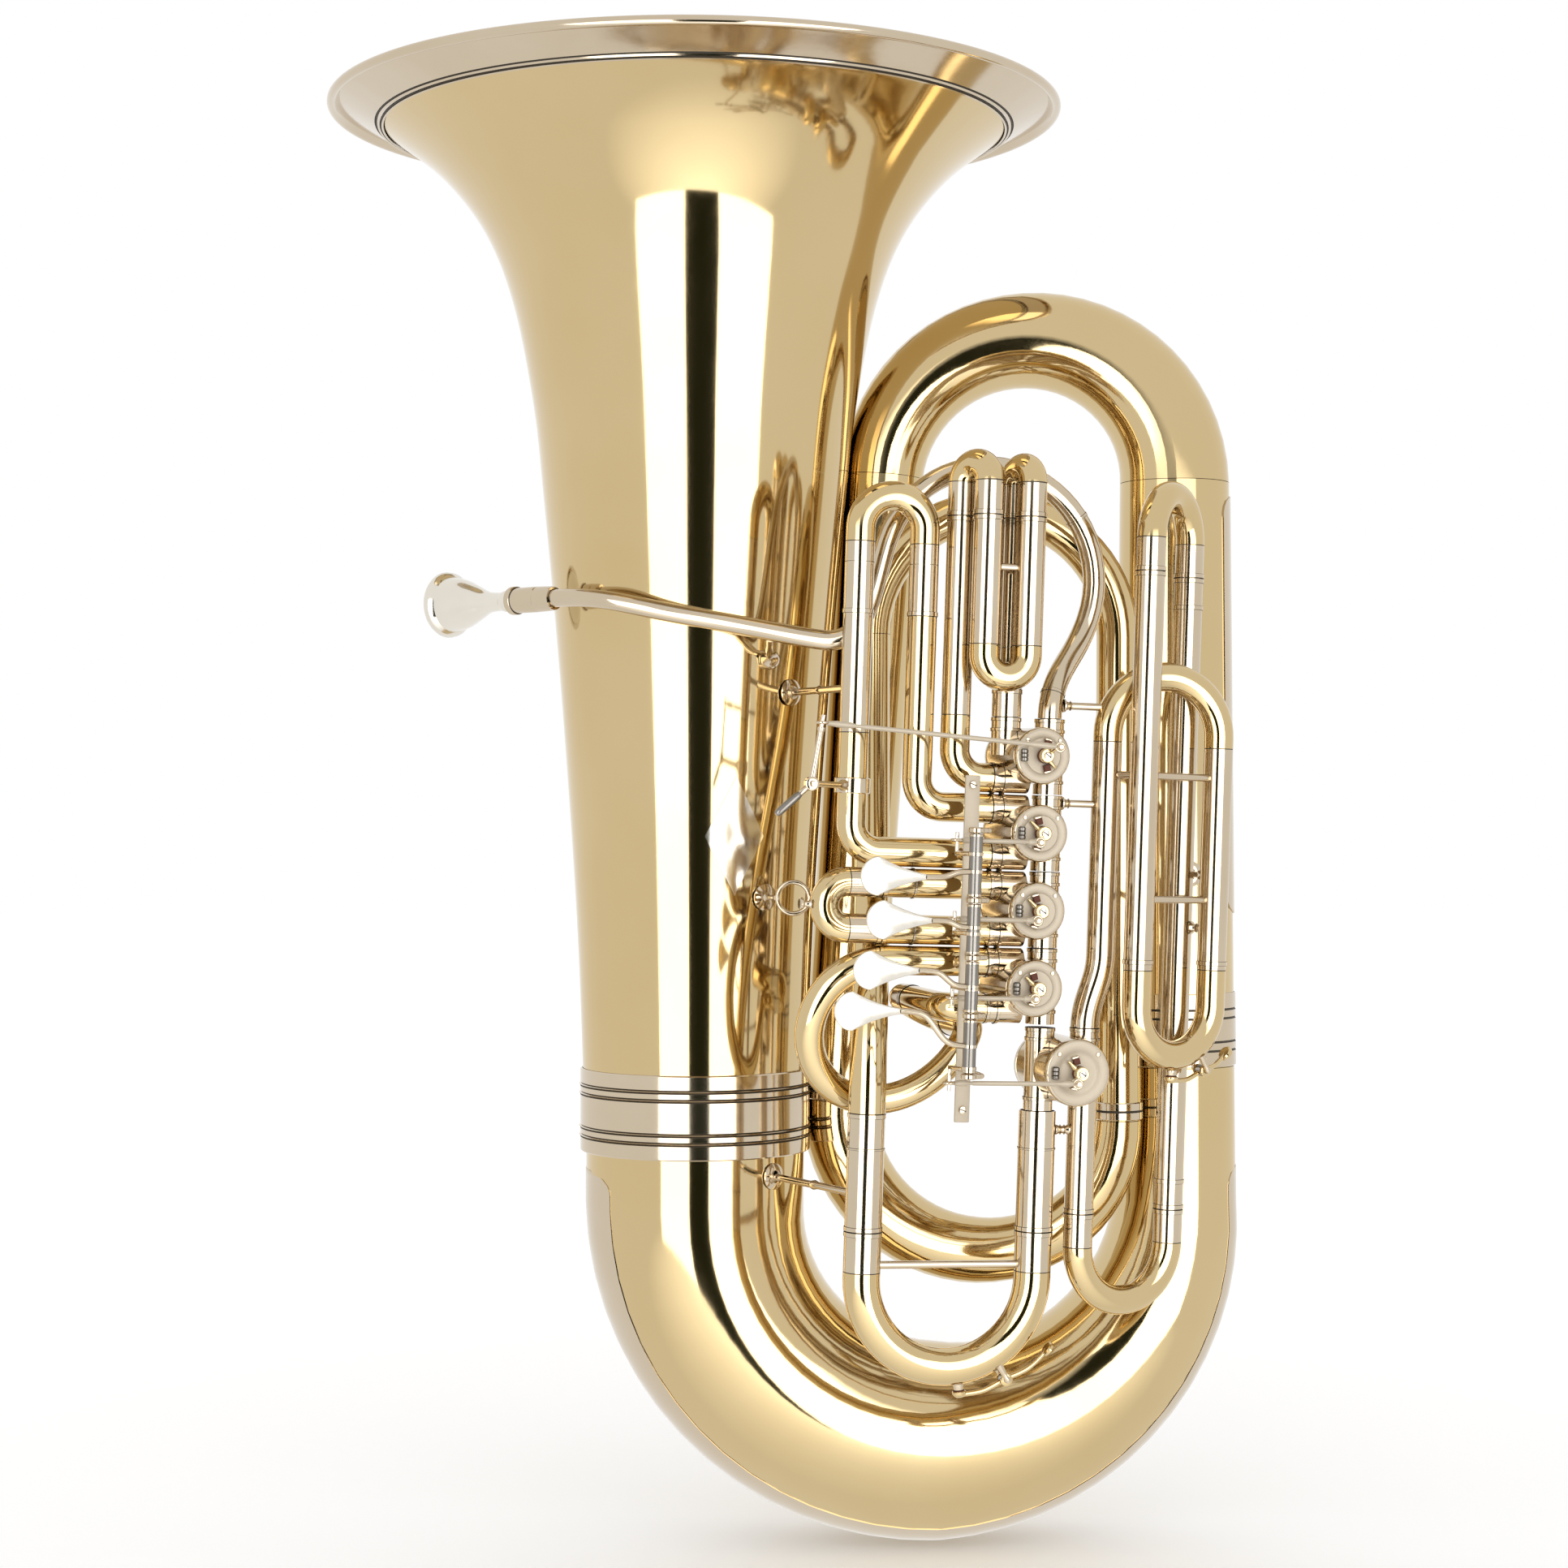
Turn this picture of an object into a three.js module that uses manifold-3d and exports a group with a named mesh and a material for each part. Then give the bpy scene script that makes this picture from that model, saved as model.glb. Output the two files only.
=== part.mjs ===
// Concert tuba with five rotary valves, bell up, seen with its valve side at -Y.
// Millimetres, +Z up. The origin is the lowest point of the bottom bow's guard.

import * as THREE from 'three';
import { mergeVertices } from 'three/addons/utils/BufferGeometryUtils.js';
import Module from 'manifold-3d';

// Bell: its axis is vertical.
const bellOffset = 155;
const bellHeight = 996;
const bellRimRadius = 250;
const bellThroatRadius = 77;
const bellWall = 0.8;
const rimWireRadius = 3.2;
const garlandWidth = 36;
const garlandThickness = 0.8;
// Height above the throat as a share of the bell, and flare as a share of rim less throat.
const bellFlareShares = [
  [0, 0], [0.14, 0.02], [0.27, 0.05], [0.45, 0.105], [0.61, 0.165], [0.7, 0.205],
  [0.8, 0.285], [0.873, 0.4], [0.93, 0.575], [0.972, 0.79], [1, 1],
];
const bellSides = 32;
const bellStations = 12;
const bellFineStations = 120;
const garlandStations = 4;

// Big bows and branches: one conical centreline, from the bell to the main tuning slide.
const jointHeight = 302;
const ferruleLength = 57;
const ferruleThickness = 1.4;
// Where each bead of the ferrule starts, stands highest and ends, from the nearer edge.
const ferruleBeadShares = [0.167, 0.2, 0.233];
const bellToBranch = 335;
const branchSetback = 15;
const branchJointHeight = 331;
const topBowHeight = 737;
const topBowRadius = 102;
const innerBranchSetback = 25;
const secondBowX = 40.7;
const secondBowHeight = 297;
const secondBowRadius = 94.5;
const secondBranchForward = 72;
const secondTopBowHeight = 627;
const secondTopBowRadius = 85;
const tuningBranchForward = 30;
const tuningPullStart = 130;
const tuningPullEnd = 88;
const jointGap = 0.4;

// Tube radii at the joints of that centreline.
const bowStartRadius = 75.5;
const bowMidRadius = 68;
const bowEndRadius = 42.5;
const branchTopRadius = 38;
const topBowEndRadius = 29;
const innerBranchEndRadius = 27;
const secondBowMidRadius = 23;
const secondBowEndRadius = 16;
const secondBranchTopRadius = 14.5;
const secondTopBowEndRadius = 13;
const conicalWall = 0.9;
const bandRise = 1.2;
const branchBandLength = 51;
const branchJointBandLength = 12;

// Guards on the outside of the bows.
const guardHalfAngle = THREE.MathUtils.degToRad(36);
const guardThickness = 1.2;
const guardOverrun = 24;
const guardTip = 10;
const branchGuardLength = 300;

// Valve machine: a frame turned and leaned as it sits on the horn. Its origin is the first
// valve's port plane, x runs along the rods, y points back and z runs up the valve column.
const machineX = 63.8;
const machineY = -125;
const machineZ = 494;
const machineTurn = THREE.MathUtils.degToRad(15);
const machineLean = THREE.MathUtils.degToRad(1.9);

// Valves.
const valvePitch = 50;
const casingRadius = 18.5;
const casingHalfDepth = 30;
const casingWall = 2.7;
const portOffset = 15;
const portReach = 24.7;
const fourthValveX = 31;
const fourthValveDrop = 154;
const fourthCasingRadius = 22;
const fourthPortOffset = 15.5;
const fourthPortReach = 27;
const plateThickness = 2.4;
const rotorClearance = 0.5;
const spindleRadius = 4;
const spindleClearance = 0.4;
const corkSize = 4.2;
const corkHeight = 3.4;
const corkSetback = THREE.MathUtils.degToRad(30);

// Stop arms and linkage.
const stopArmRadius = 8;
const hubRadius = 4.6;
const hubLength = 7;
const hubGap = 1.2;
const armThickness = 3;
const wingLength = 11;
const studRadius = 1.5;
const rodRadius = 1.5;
const rodDistance = 15;
const eyeRadius = 3.6;
const eyeThickness = 3;
const eyeClearance = 0.35;
const openEyeRadius = 4.2;
const openEyeBore = 2.3;
const pinRadius = 1.2;
const pinPast = 5;
const leverSwing = THREE.MathUtils.degToRad(15);
const rotorSwing = THREE.MathUtils.degToRad(45);

// Finger levers.
const leverHingeX = -56;
const hingeRadius = 2;
const hingeClearance = 0.25;
const leverHubRadius = 4.6;
const postHeights = [1, -43, -79, -115.5, -153.5];
const postKnobHalf = 1.7;
const hubClearance = 0.4;
const leverArmRadius = 1.9;
const driveArmThickness = 3;
const touchLength = 51;
const touchRadius = 12.2;
const touchNeck = 2.6;
const touchThickness = 2.4;
const touchAngle = THREE.MathUtils.degToRad(10);
const railX = -45;
const railDepth = 25;
const railWidth = 10;
const railThickness = 2.2;
const railTop = 36;
const railBottom = 187;
const postRadius = 1.9;
const railFootRadius = 2.6;
const postElbow = 5;
// For each lever: its reach, the height of its arm and its touch from the middle of its hub,
// and the height of its drive arm from the end of its rod.
const leverReaches = [80, 75, 83, 95];
const leverArmRises = [-4, 1, 0, 0];
const leverTouchRises = [-8, 5, 10, 22];
const leverDriveRises = [-8.3, -8.3, 7, 10];

// Thumb lever of the fifth valve.
const thumbPivotX = -158.4;
const thumbPivotHeight = 26.8;
const thumbArm = 38.8;
const thumbTouchReach = 30;
const thumbTouchAngle = THREE.MathUtils.degToRad(222);
const thumbHubRadius = 4.4;
const thumbHubLength = 6;
const thumbPinRadius = 1.8;
const thumbPadRadius = 4.2;
const thumbPadStart = 9;
const clampThickness = 1.8;
const clampHeight = 10;
const bracketArmRadius = 2;
const bracketGap = 0.5;
const thumbRingRadius = 10.6;
const thumbRingWire = 1.6;
const thumbRingX = -87;
const thumbRingHeight = 450;
const thumbRingStandoff = 22;

// Slide tubing of the valve loops.
const innerLegRadius = 8.6;
const innerLegBore = 7.9;
const outerTubeRadius = 9.6;
const outerTubeBore = 9.15;
const boreRelief = 0.12;
const sleeveLength = 22;
const innerLegLength = 62;
const elbowRadius = 18;
const ringRise = 0.35;
const ringLength = 3;

// First loop.
const firstLeftX = -118;
const firstRightX = -74.6;
const firstSlideHeight = 193;
// Second loop, with a knob on its slide.
const secondSlideX = -119;
const knobStemRadius = 2;
const knobStemLength = 4.5;
const knobHeadRadius = 4;
const knobHeadLength = 3.2;
// Third loop.
const thirdRingX = -91;
const thirdRingRadius = 46.5;
const thirdRingSetback = 26;
const thirdLegHeight = -129;
const thirdLegX = -22;
const thirdElbowX = -50;
const thirdElbowRadius = 12;
const thirdLegStart = 40;
const thirdTubeLength = 34;
const thirdSleeve = 16;
const thirdLegs = 30;
// Fourth loop.
const fourthRiserX = 56;
const fourthRiserStart = -78;
const fourthRiserPull = 20;
const fourthFarX = 134.8;
const fourthFrontX = 74;
const fourthFrontY = -21;
const fourthBackX = 118;
const fourthBackY = 20.5;
const fourthTopBowHeight = 66.6;
const fourthLowBowHeight = -111.4;
const fourthUpperSlideHeight = 195.6;
const fourthLowerSlideHeight = -271;
// Fifth loop.
const fifthLeftX = -49.6;
const fifthFrontLeftX = -38.6;
const fifthFrontRightX = -9.4;
const fifthFrontY = -20.5;
const fifthTopHeight = 226;
const fifthLowHeight = 114.6;

// Main tuning slide.
const mainInnerRadius = 10.7;
const mainInnerBore = 9.9;
const mainOuterRadius = 12.1;
const mainOuterBore = 11.4;
const mainLeftX = -101;
const mainTubeTop = -184;
const mainTubeLength = 76;
const mainSleeveLength = 26;
const mainStraight = 4;
const mainInnerLength = 70;

// Stays.
const stayRadius = 2.4;
const bellStayHeight = 90;
const bellStayAngle = THREE.MathUtils.degToRad(-45);
const bowStayHeight = -237;
const bowStayAngle = THREE.MathUtils.degToRad(-44);
const branchStayHeight = -25;
const fifthBraceHeight = 171;
const riserStayHeight = 14;
const leadpipeStayHeight = 80;
const leadpipeStayRoom = 1.2;
const fourthBraceHeights = [40, -41];
const fourthInnerStayHeight = -60;
const lowerStayHeight = -194;
const mainBraceHeight = -274;
const stayFlangeRadius = 9;
const stayFlangeThickness = 2;
const stayFlangeOverlap = 0.5;
const seatGap = 0.3;

// Water keys.
const keyNippleRadius = 3.4;
const keyNippleHeight = 4;
const keyCapRadius = 4.6;
const keyCapHeight = 4.2;
const keyBarrelRadius = 2.6;
const keyBarrelLength = 9;
const keyBarRadius = 1.6;
const keyHingeRise = 8.5;
const keyTouchRise = 15;
const keyTouchRadius = 5;
const keyLugRadius = 1.5;
const keyGap = 0.4;
const keySeatAngle = THREE.MathUtils.degToRad(-82);
const keyHingeAngle = THREE.MathUtils.degToRad(-58);
const keyTouchAngle = THREE.MathUtils.degToRad(-34);

// Leadpipe, receiver and mouthpiece.
const leadpipeStartRadius = 7.9;
const leadpipeEndRadius = 6;
const leadpipeWall = 0.9;
const archX = -22;
const archY = 24;
const archHeight = 166;
const archRadius = 74;
const archStartAngle = THREE.MathUtils.degToRad(-18);
const archEndAngle = THREE.MathUtils.degToRad(164);
const archPull = 32;
const bellClearance = 7;
const bellPassX = -148;
const bellPassHeight = 627;
const bellPassRise = THREE.MathUtils.degToRad(11.5);
const bellPassPull = 72;
const receiverPull = 50;
const receiverAngle = THREE.MathUtils.degToRad(139);
const receiverX = -246;
const receiverY = -84;
const receiverZ = 650;
const receiverLength = 40;
const receiverRadius = 8.6;
const receiverRimRadius = 9.6;
const shankRadius = 6.6;
const shankClearance = 0.3;
const mouthpieceLength = 86;
const shankInsertion = 20;
const cupRadius = 22.5;
const leadpipeInsertion = 9;
const leadpipeFootSetback = 172;
const leadpipeFootRadius = 7;
const receiverGap = 0.4;
const receiverTaper = 1;
const receiverRimLength = 5;
const shankRoom = 4;

// Plate on the bell where the hand rests.
const plateAngle = THREE.MathUtils.degToRad(-70);
const plateHeight = 491;
const plateHalfWidth = 21;
const plateHalfHeight = 39.5;
const plateSkin = 0.9;
const plateTip = 1.5;

// Shares and counts.
const guardStepShares = [-1, -0.5, 0, 0.5, 1];
const plateStepShares = [-1, -0.67, -0.33, 0, 0.33, 0.67, 1];
const plateRowShares = [-1, -0.5, 0, 0.5, 1];
const shortBendSteps = 4;
const longBendSteps = 6;
const tuningBendSteps = 8;
const turnStep = THREE.MathUtils.degToRad(30);
const bowStep = THREE.MathUtils.degToRad(18);
const bigSides = 20;
const branchSides = 16;
const casingSides = 12;
// A polygon's flats stand nearer its centre than its corners.
const casingFlat = Math.cos(Math.PI / casingSides);
const tubeSides = 10;
const smallSides = 8;
const barSides = 6;

const wasm = await Module();
wasm.setup();

const brass = { color: 0xd8b45c, roughness: 0.22, metalness: 1 };
const nickel = { color: 0xcfc8b8, roughness: 0.25, metalness: 1 };

const up = new THREE.Vector3(0, 0, 1);
const right = new THREE.Vector3(1, 0, 0);
const back = new THREE.Vector3(0, 1, 0);
const down = up.clone().negate();
const left = right.clone().negate();
const front = back.clone().negate();
const v3 = (x, y, z) => new THREE.Vector3(x, y, z);

const horn = new THREE.Group();
const machine = new THREE.Group();
machine.position.set(machineX, machineY, machineZ);
machine.rotation.set(0, machineLean, machineTurn);
machine.updateMatrixWorld(true);
horn.add(machine);

function place(parent, name, geometry, finish) {
  const mesh = new THREE.Mesh(geometry, new THREE.MeshStandardMaterial(finish));
  mesh.name = name;
  parent.add(mesh);
}

// A centreline made of straight runs, turns and free bends. It keeps a side direction that
// never twists about the line.
class Route {
  constructor(start, heading, side) {
    this.samples = [{ point: start.clone(), heading: heading.clone().normalize(), distance: 0 }];
    this.samples[0].side = side.clone();
  }

  get end() {
    return this.samples[this.samples.length - 1];
  }

  get length() {
    return this.end.distance;
  }

  add(point, heading) {
    const last = this.end;
    const turn = new THREE.Quaternion().setFromUnitVectors(last.heading, heading);
    const side = last.side.clone().applyQuaternion(turn);
    const distance = last.distance + point.distanceTo(last.point);
    this.samples.push({ point, heading, side, distance });
  }

  ahead(length) {
    const { point, heading } = this.end;
    this.add(point.clone().addScaledVector(heading, length), heading.clone());
    return this;
  }

  // A circular turn, which may also drift sideways, easing in and out.
  turn(radius, angle, towards, drift = 0, step = turnStep) {
    const { point, heading } = this.end;
    const inward = towards.clone().addScaledVector(heading, -towards.dot(heading)).normalize();
    const across = heading.clone().cross(inward);
    const steps = Math.max(2, Math.round(angle / step));
    for (let i = 1; i <= steps; i += 1) {
      const a = angle * i / steps;
      const phase = Math.PI * i / steps;
      const next = point.clone()
        .addScaledVector(heading, radius * Math.sin(a))
        .addScaledVector(inward, radius * (1 - Math.cos(a)))
        .addScaledVector(across, drift * (1 - Math.cos(phase)) / 2);
      const slope = drift * Math.PI * Math.sin(phase) / (2 * radius * angle);
      const direction = heading.clone().multiplyScalar(Math.cos(a))
        .addScaledVector(inward, Math.sin(a))
        .addScaledVector(across, slope)
        .normalize();
      this.add(next, direction);
    }
    return this;
  }

  // A free bend that arrives at a point with a heading.
  reach(end, heading, pullStart, pullEnd, steps) {
    const { point, heading: first } = this.end;
    const last = heading.clone().normalize();
    const curve = new THREE.CubicBezierCurve3(
      point.clone(),
      point.clone().addScaledVector(first, pullStart),
      end.clone().addScaledVector(last, -pullEnd),
      end.clone(),
    );
    for (let i = 1; i <= steps; i += 1) {
      this.add(curve.getPoint(i / steps), curve.getTangent(i / steps));
    }
    return this;
  }

  at(distance) {
    const after = this.samples.findIndex((s) => s.distance >= distance);
    if (after <= 0) {
      return after === 0 ? this.samples[0] : this.end;
    }
    const a = this.samples[after - 1];
    const b = this.samples[after];
    const share = (distance - a.distance) / (b.distance - a.distance);
    return {
      point: a.point.clone().lerp(b.point, share),
      heading: a.heading.clone().lerp(b.heading, share).normalize(),
      side: a.side.clone().lerp(b.side, share).normalize(),
    };
  }

  between(from, to) {
    const inside = this.samples.map((s) => s.distance)
      .filter((d) => (d - from) * (d - to) < 0);
    return from < to ? inside : inside.reverse();
  }
}

function closedMesh(points, triangles) {
  const geometry = new THREE.BufferGeometry();
  geometry.setAttribute('position', new THREE.Float32BufferAttribute(points.flat(), 3));
  geometry.setIndex(triangles.flat());
  return geometry;
}

// A turned profile carried along a route: pairs of distance and radius, on the axis at both
// ends or closed on itself. The outside runs forwards and a bore runs back.
function carry(route, profile, sides) {
  const closed = profile[0][1] > 0;
  const stations = closed ? [...profile, profile[0]] : profile;
  const rings = [];
  for (let i = 0; i < stations.length - 1; i += 1) {
    const [from, r0] = stations[i];
    const [to, r1] = stations[i + 1];
    rings.push([from, r0]);
    for (const d of route.between(from, to)) {
      rings.push([d, r0 + (r1 - r0) * (d - from) / (to - from)]);
    }
  }
  if (!closed) {
    rings.push(stations[stations.length - 1]);
  }
  const points = [];
  const starts = [];
  for (const [distance, radius] of rings) {
    const { point, heading, side } = route.at(distance);
    const across = heading.clone().cross(side);
    starts.push(points.length);
    for (let j = 0; j < (radius > 0 ? sides : 1); j += 1) {
      const a = 2 * Math.PI * j / sides;
      points.push(point.clone()
        .addScaledVector(side, radius * Math.cos(a))
        .addScaledVector(across, radius * Math.sin(a)).toArray());
    }
  }
  const triangles = [];
  const pairs = closed ? rings.length : rings.length - 1;
  for (let i = 0; i < pairs; i += 1) {
    const next = (i + 1) % rings.length;
    for (let j = 0; j < sides; j += 1) {
      const k = (j + 1) % sides;
      const a = starts[i] + (rings[i][1] > 0 ? j : 0);
      const b = starts[i] + (rings[i][1] > 0 ? k : 0);
      const c = starts[next] + (rings[next][1] > 0 ? k : 0);
      const d = starts[next] + (rings[next][1] > 0 ? j : 0);
      if (a !== b) {
        triangles.push([a, b, c]);
      }
      if (c !== d) {
        triangles.push([a, c, d]);
      }
    }
  }
  return closedMesh(points, triangles);
}

// A loft through rings of points that face along one another, with flat ends.
function loft(rings) {
  const count = rings[0].length;
  const points = rings.flat().map((p) => p.toArray());
  const triangles = [];
  for (let i = 0; i < rings.length - 1; i += 1) {
    for (let j = 0; j < count; j += 1) {
      const k = (j + 1) % count;
      const a = i * count;
      const b = a + count;
      triangles.push([a + j, a + k, b + k], [a + j, b + k, b + j]);
    }
  }
  const last = (rings.length - 1) * count;
  for (let j = 0; j < count / 2 - 1; j += 1) {
    const k = count - 1 - j;
    triangles.push([j, k, j + 1], [j + 1, k, k - 1]);
    triangles.push([last + j, last + j + 1, last + k], [last + j + 1, last + k - 1, last + k]);
  }
  return closedMesh(points, triangles);
}

function turned(profile, sides) {
  const points = profile.map(([radius, height]) => new THREE.Vector2(radius, height));
  const closed = profile[0][0] > 0;
  const outline = closed ? [...points, points[0]] : points;
  return new THREE.LatheGeometry(outline, sides).rotateX(Math.PI / 2);
}

function solid(geometry) {
  const bare = geometry.clone();
  bare.deleteAttribute('normal');
  bare.deleteAttribute('uv');
  const merged = mergeVertices(bare);
  return new wasm.Manifold(new wasm.Mesh({
    numProp: 3,
    vertProperties: merged.attributes.position.array,
    triVerts: new Uint32Array(merged.index.array),
  }));
}

function shaped(body) {
  const { vertProperties, triVerts } = body.getMesh();
  const geometry = new THREE.BufferGeometry();
  geometry.setAttribute('position', new THREE.BufferAttribute(vertProperties, 3));
  geometry.setIndex(new THREE.BufferAttribute(triVerts, 1));
  return geometry;
}

function joined(...geometries) {
  return shaped(geometries.map(solid).reduce((a, b) => a.add(b)));
}

function cut(geometry, ...tools) {
  return shaped(tools.map(solid).reduce((a, b) => a.subtract(b), solid(geometry)));
}

// A round bar between two points.
function bar(from, to, radius, sides = barSides) {
  const heading = to.clone().sub(from);
  const side = Math.abs(heading.z) > heading.length() / 2 ? right : up;
  const square = side.clone().addScaledVector(heading, -side.dot(heading) / heading.lengthSq());
  const route = new Route(from, heading, square.normalize()).ahead(heading.length());
  return carry(route, [[0, 0], [0, radius], [route.length, radius], [route.length, 0]], sides);
}

function solidTube(route, radius) {
  const { length } = route;
  return carry(route, [[0, 0], [0, radius], [length, radius], [length, 0]], tubeSides);
}

// Bell and garland.
const bellLength = bellHeight - jointHeight;
const flare = bellRimRadius - rimWireRadius - bellThroatRadius;
const bellCurve = new THREE.SplineCurve(bellFlareShares.map(
  ([rise, spread]) => new THREE.Vector2(
    bellThroatRadius + flare * spread,
    jointHeight + jointGap + (bellLength - jointGap) * rise,
  ),
));

function bellRadiusAt(height) {
  const points = bellCurve.getPoints(bellFineStations);
  const above = points.findIndex((p) => p.y >= height);
  const a = points[above - 1];
  const b = points[above];
  return a.x + (b.x - a.x) * (height - a.y) / (b.y - a.y);
}

function offsetProfile(points, offset) {
  return points.map((p, i) => {
    const before = points[Math.max(i - 1, 0)];
    const after = points[Math.min(i + 1, points.length - 1)];
    const along = after.clone().sub(before).normalize();
    return [p.x + along.y * offset, p.y - along.x * offset];
  });
}

const bellOutside = bellCurve.getPoints(bellStations);
const bellInside = offsetProfile(bellOutside, -bellWall).reverse();
bellInside[0] = [bellOutside[bellStations].x - bellWall, bellOutside[bellStations].y];
bellInside[bellStations] = [bellThroatRadius - bellWall, jointHeight + jointGap];
const bell = turned([...bellOutside.map((p) => [p.x, p.y]), ...bellInside], bellSides);
bell.translate(-bellOffset, 0, 0);
place(horn, 'bell', bell, brass);

const rimStart = bellRimRadius - garlandWidth;
const bandPoints = bellCurve.getPoints(bellFineStations).filter((p) => p.x > rimStart);
const skinPoints = bandPoints.filter((p, i) => i % garlandStations === 0);
const skinInside = offsetProfile(skinPoints, seatGap + garlandThickness / 2);
const skinOutside = offsetProfile(skinPoints, seatGap + garlandThickness * 3 / 2);
const wireInner = bellRimRadius - rimWireRadius + seatGap;
const wireOuter = bellRimRadius + rimWireRadius;
const garland = turned([
  ...skinOutside.slice(0, -1),
  [bellRimRadius, bellHeight - 2 * rimWireRadius],
  [wireOuter, bellHeight - rimWireRadius],
  [bellRimRadius + rimWireRadius / 2, bellHeight],
  [wireInner, bellHeight],
  [wireInner, bellHeight - rimWireRadius],
  ...skinInside.slice(0, -1).reverse(),
], bellSides);
garland.translate(-bellOffset, 0, 0);
place(horn, 'bell_garland', garland, nickel);

const ferruleInner = bellRadiusAt(jointHeight + ferruleLength / 2) + seatGap;
const ferruleOuter = ferruleInner + ferruleThickness;
const ferruleTop = jointHeight + ferruleLength / 2;
const ferruleBottom = jointHeight - ferruleLength / 2;
const [beadStart, beadTop, beadEnd] = ferruleBeadShares.map((share) => share * ferruleLength);
const ferrule = turned([
  [ferruleOuter, ferruleBottom],
  [ferruleOuter, ferruleBottom + beadStart],
  [ferruleOuter + bandRise, ferruleBottom + beadTop],
  [ferruleOuter, ferruleBottom + beadEnd],
  [ferruleOuter, ferruleTop - beadEnd],
  [ferruleOuter + bandRise, ferruleTop - beadTop],
  [ferruleOuter, ferruleTop - beadStart],
  [ferruleOuter, ferruleTop],
  [ferruleInner, ferruleTop],
  [ferruleInner, ferruleBottom],
], bellSides);
ferrule.translate(-bellOffset, 0, 0);
place(horn, 'bell_ferrule', ferrule, nickel);

// The conical centreline. The inner branch leans so that it meets both its bows square.
const bowRadius = Math.hypot(bellToBranch, branchSetback) / 2;
const bowHeight = bowRadius + bowMidRadius + jointGap + guardThickness;
const branchX = bellToBranch - bellOffset;
const topBowX = branchX - topBowRadius;
const bowSpan = Math.hypot(topBowX - secondBowX, topBowHeight - secondBowHeight);
const bowSlope = Math.atan2(topBowX - secondBowX, topBowHeight - secondBowHeight);
const branchLean = bowSlope + Math.asin((secondBowRadius - topBowRadius) / bowSpan);
const innerBranchLength = bowSpan * Math.cos(branchLean - bowSlope);
const tuningEnd = machine.localToWorld(v3(mainLeftX, 0, mainTubeTop + jointGap));
const tuningHeading = down.clone().applyEuler(machine.rotation);

const conical = new Route(v3(-bellOffset, 0, jointHeight - jointGap), down, left);
const marks = { bellJoint: 0 };
conical.ahead(jointHeight - jointGap - bowHeight);
marks.bowStart = conical.length;
conical.turn(bowRadius, Math.PI, v3(bellToBranch, branchSetback, 0), 0, bowStep);
marks.bowEnd = conical.length;
marks.bowMid = (marks.bowStart + marks.bowEnd) / 2;
conical.ahead(branchJointHeight - bowHeight);
marks.branchStart = conical.length;
conical.ahead(topBowHeight - branchJointHeight);
marks.branchEnd = conical.length;
conical.turn(topBowRadius, Math.PI - branchLean, left, -innerBranchSetback, bowStep);
marks.topBowEnd = conical.length;
conical.ahead(innerBranchLength);
marks.innerBranchEnd = conical.length;
conical.turn(secondBowRadius, Math.PI + branchLean, right, secondBranchForward, bowStep);
marks.secondBowEnd = conical.length;
marks.secondBowMid = (marks.innerBranchEnd + marks.secondBowEnd) / 2;
conical.ahead(secondTopBowHeight - secondBowHeight);
marks.secondBranchEnd = conical.length;
conical.turn(secondTopBowRadius, Math.PI, left, tuningBranchForward, bowStep);
marks.secondTopBowEnd = conical.length;
conical.reach(tuningEnd, tuningHeading, tuningPullStart, tuningPullEnd, tuningBendSteps);
marks.tuningEnd = conical.length;

const conicalRadii = [
  [marks.bellJoint, bowStartRadius],
  [marks.bowStart, bowStartRadius],
  [marks.bowMid, bowMidRadius],
  [marks.bowEnd, bowEndRadius],
  [marks.branchEnd, branchTopRadius],
  [marks.topBowEnd, topBowEndRadius],
  [marks.innerBranchEnd, innerBranchEndRadius],
  [marks.secondBowMid, secondBowMidRadius],
  [marks.secondBowEnd, secondBowEndRadius],
  [marks.secondBranchEnd, secondBranchTopRadius],
  [marks.secondTopBowEnd, secondTopBowEndRadius],
  [marks.tuningEnd, mainOuterRadius],
];

function conicalRadiusAt(distance) {
  const after = Math.max(1, conicalRadii.findIndex(([d]) => d >= distance));
  const [d0, r0] = conicalRadii[after - 1];
  const [d1, r1] = conicalRadii[after];
  return r0 + (r1 - r0) * (distance - d0) / (d1 - d0);
}

// One piece of the conical tube, with raised bands where ferrules sit.
function conicalPiece(from, to, bands = []) {
  const breaks = conicalRadii.filter(([d]) => d > from && d < to);
  const profile = [[from, conicalRadiusAt(from)], ...breaks, [to, conicalRadiusAt(to)]];
  for (const [start, end] of bands) {
    const rise = (d, lift) => [d, conicalRadiusAt(d) + lift];
    profile.push(rise(start, 0), rise(start, bandRise), rise(end, bandRise), rise(end, 0));
  }
  const order = profile.map((entry, i) => [entry, i]);
  order.sort(([a, i], [b, j]) => a[0] - b[0] || i - j);
  const inside = [[from, conicalRadiusAt(from)], ...breaks, [to, conicalRadiusAt(to)]];
  const bore = inside.reverse().map(([d, r]) => [d, r - conicalWall]);
  return [...order.map(([entry]) => entry), ...bore];
}

const bottomBow = conicalPiece(0, marks.branchStart - jointGap);
place(horn, 'bottom_bow', carry(conical, bottomBow, bigSides), brass);

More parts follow.
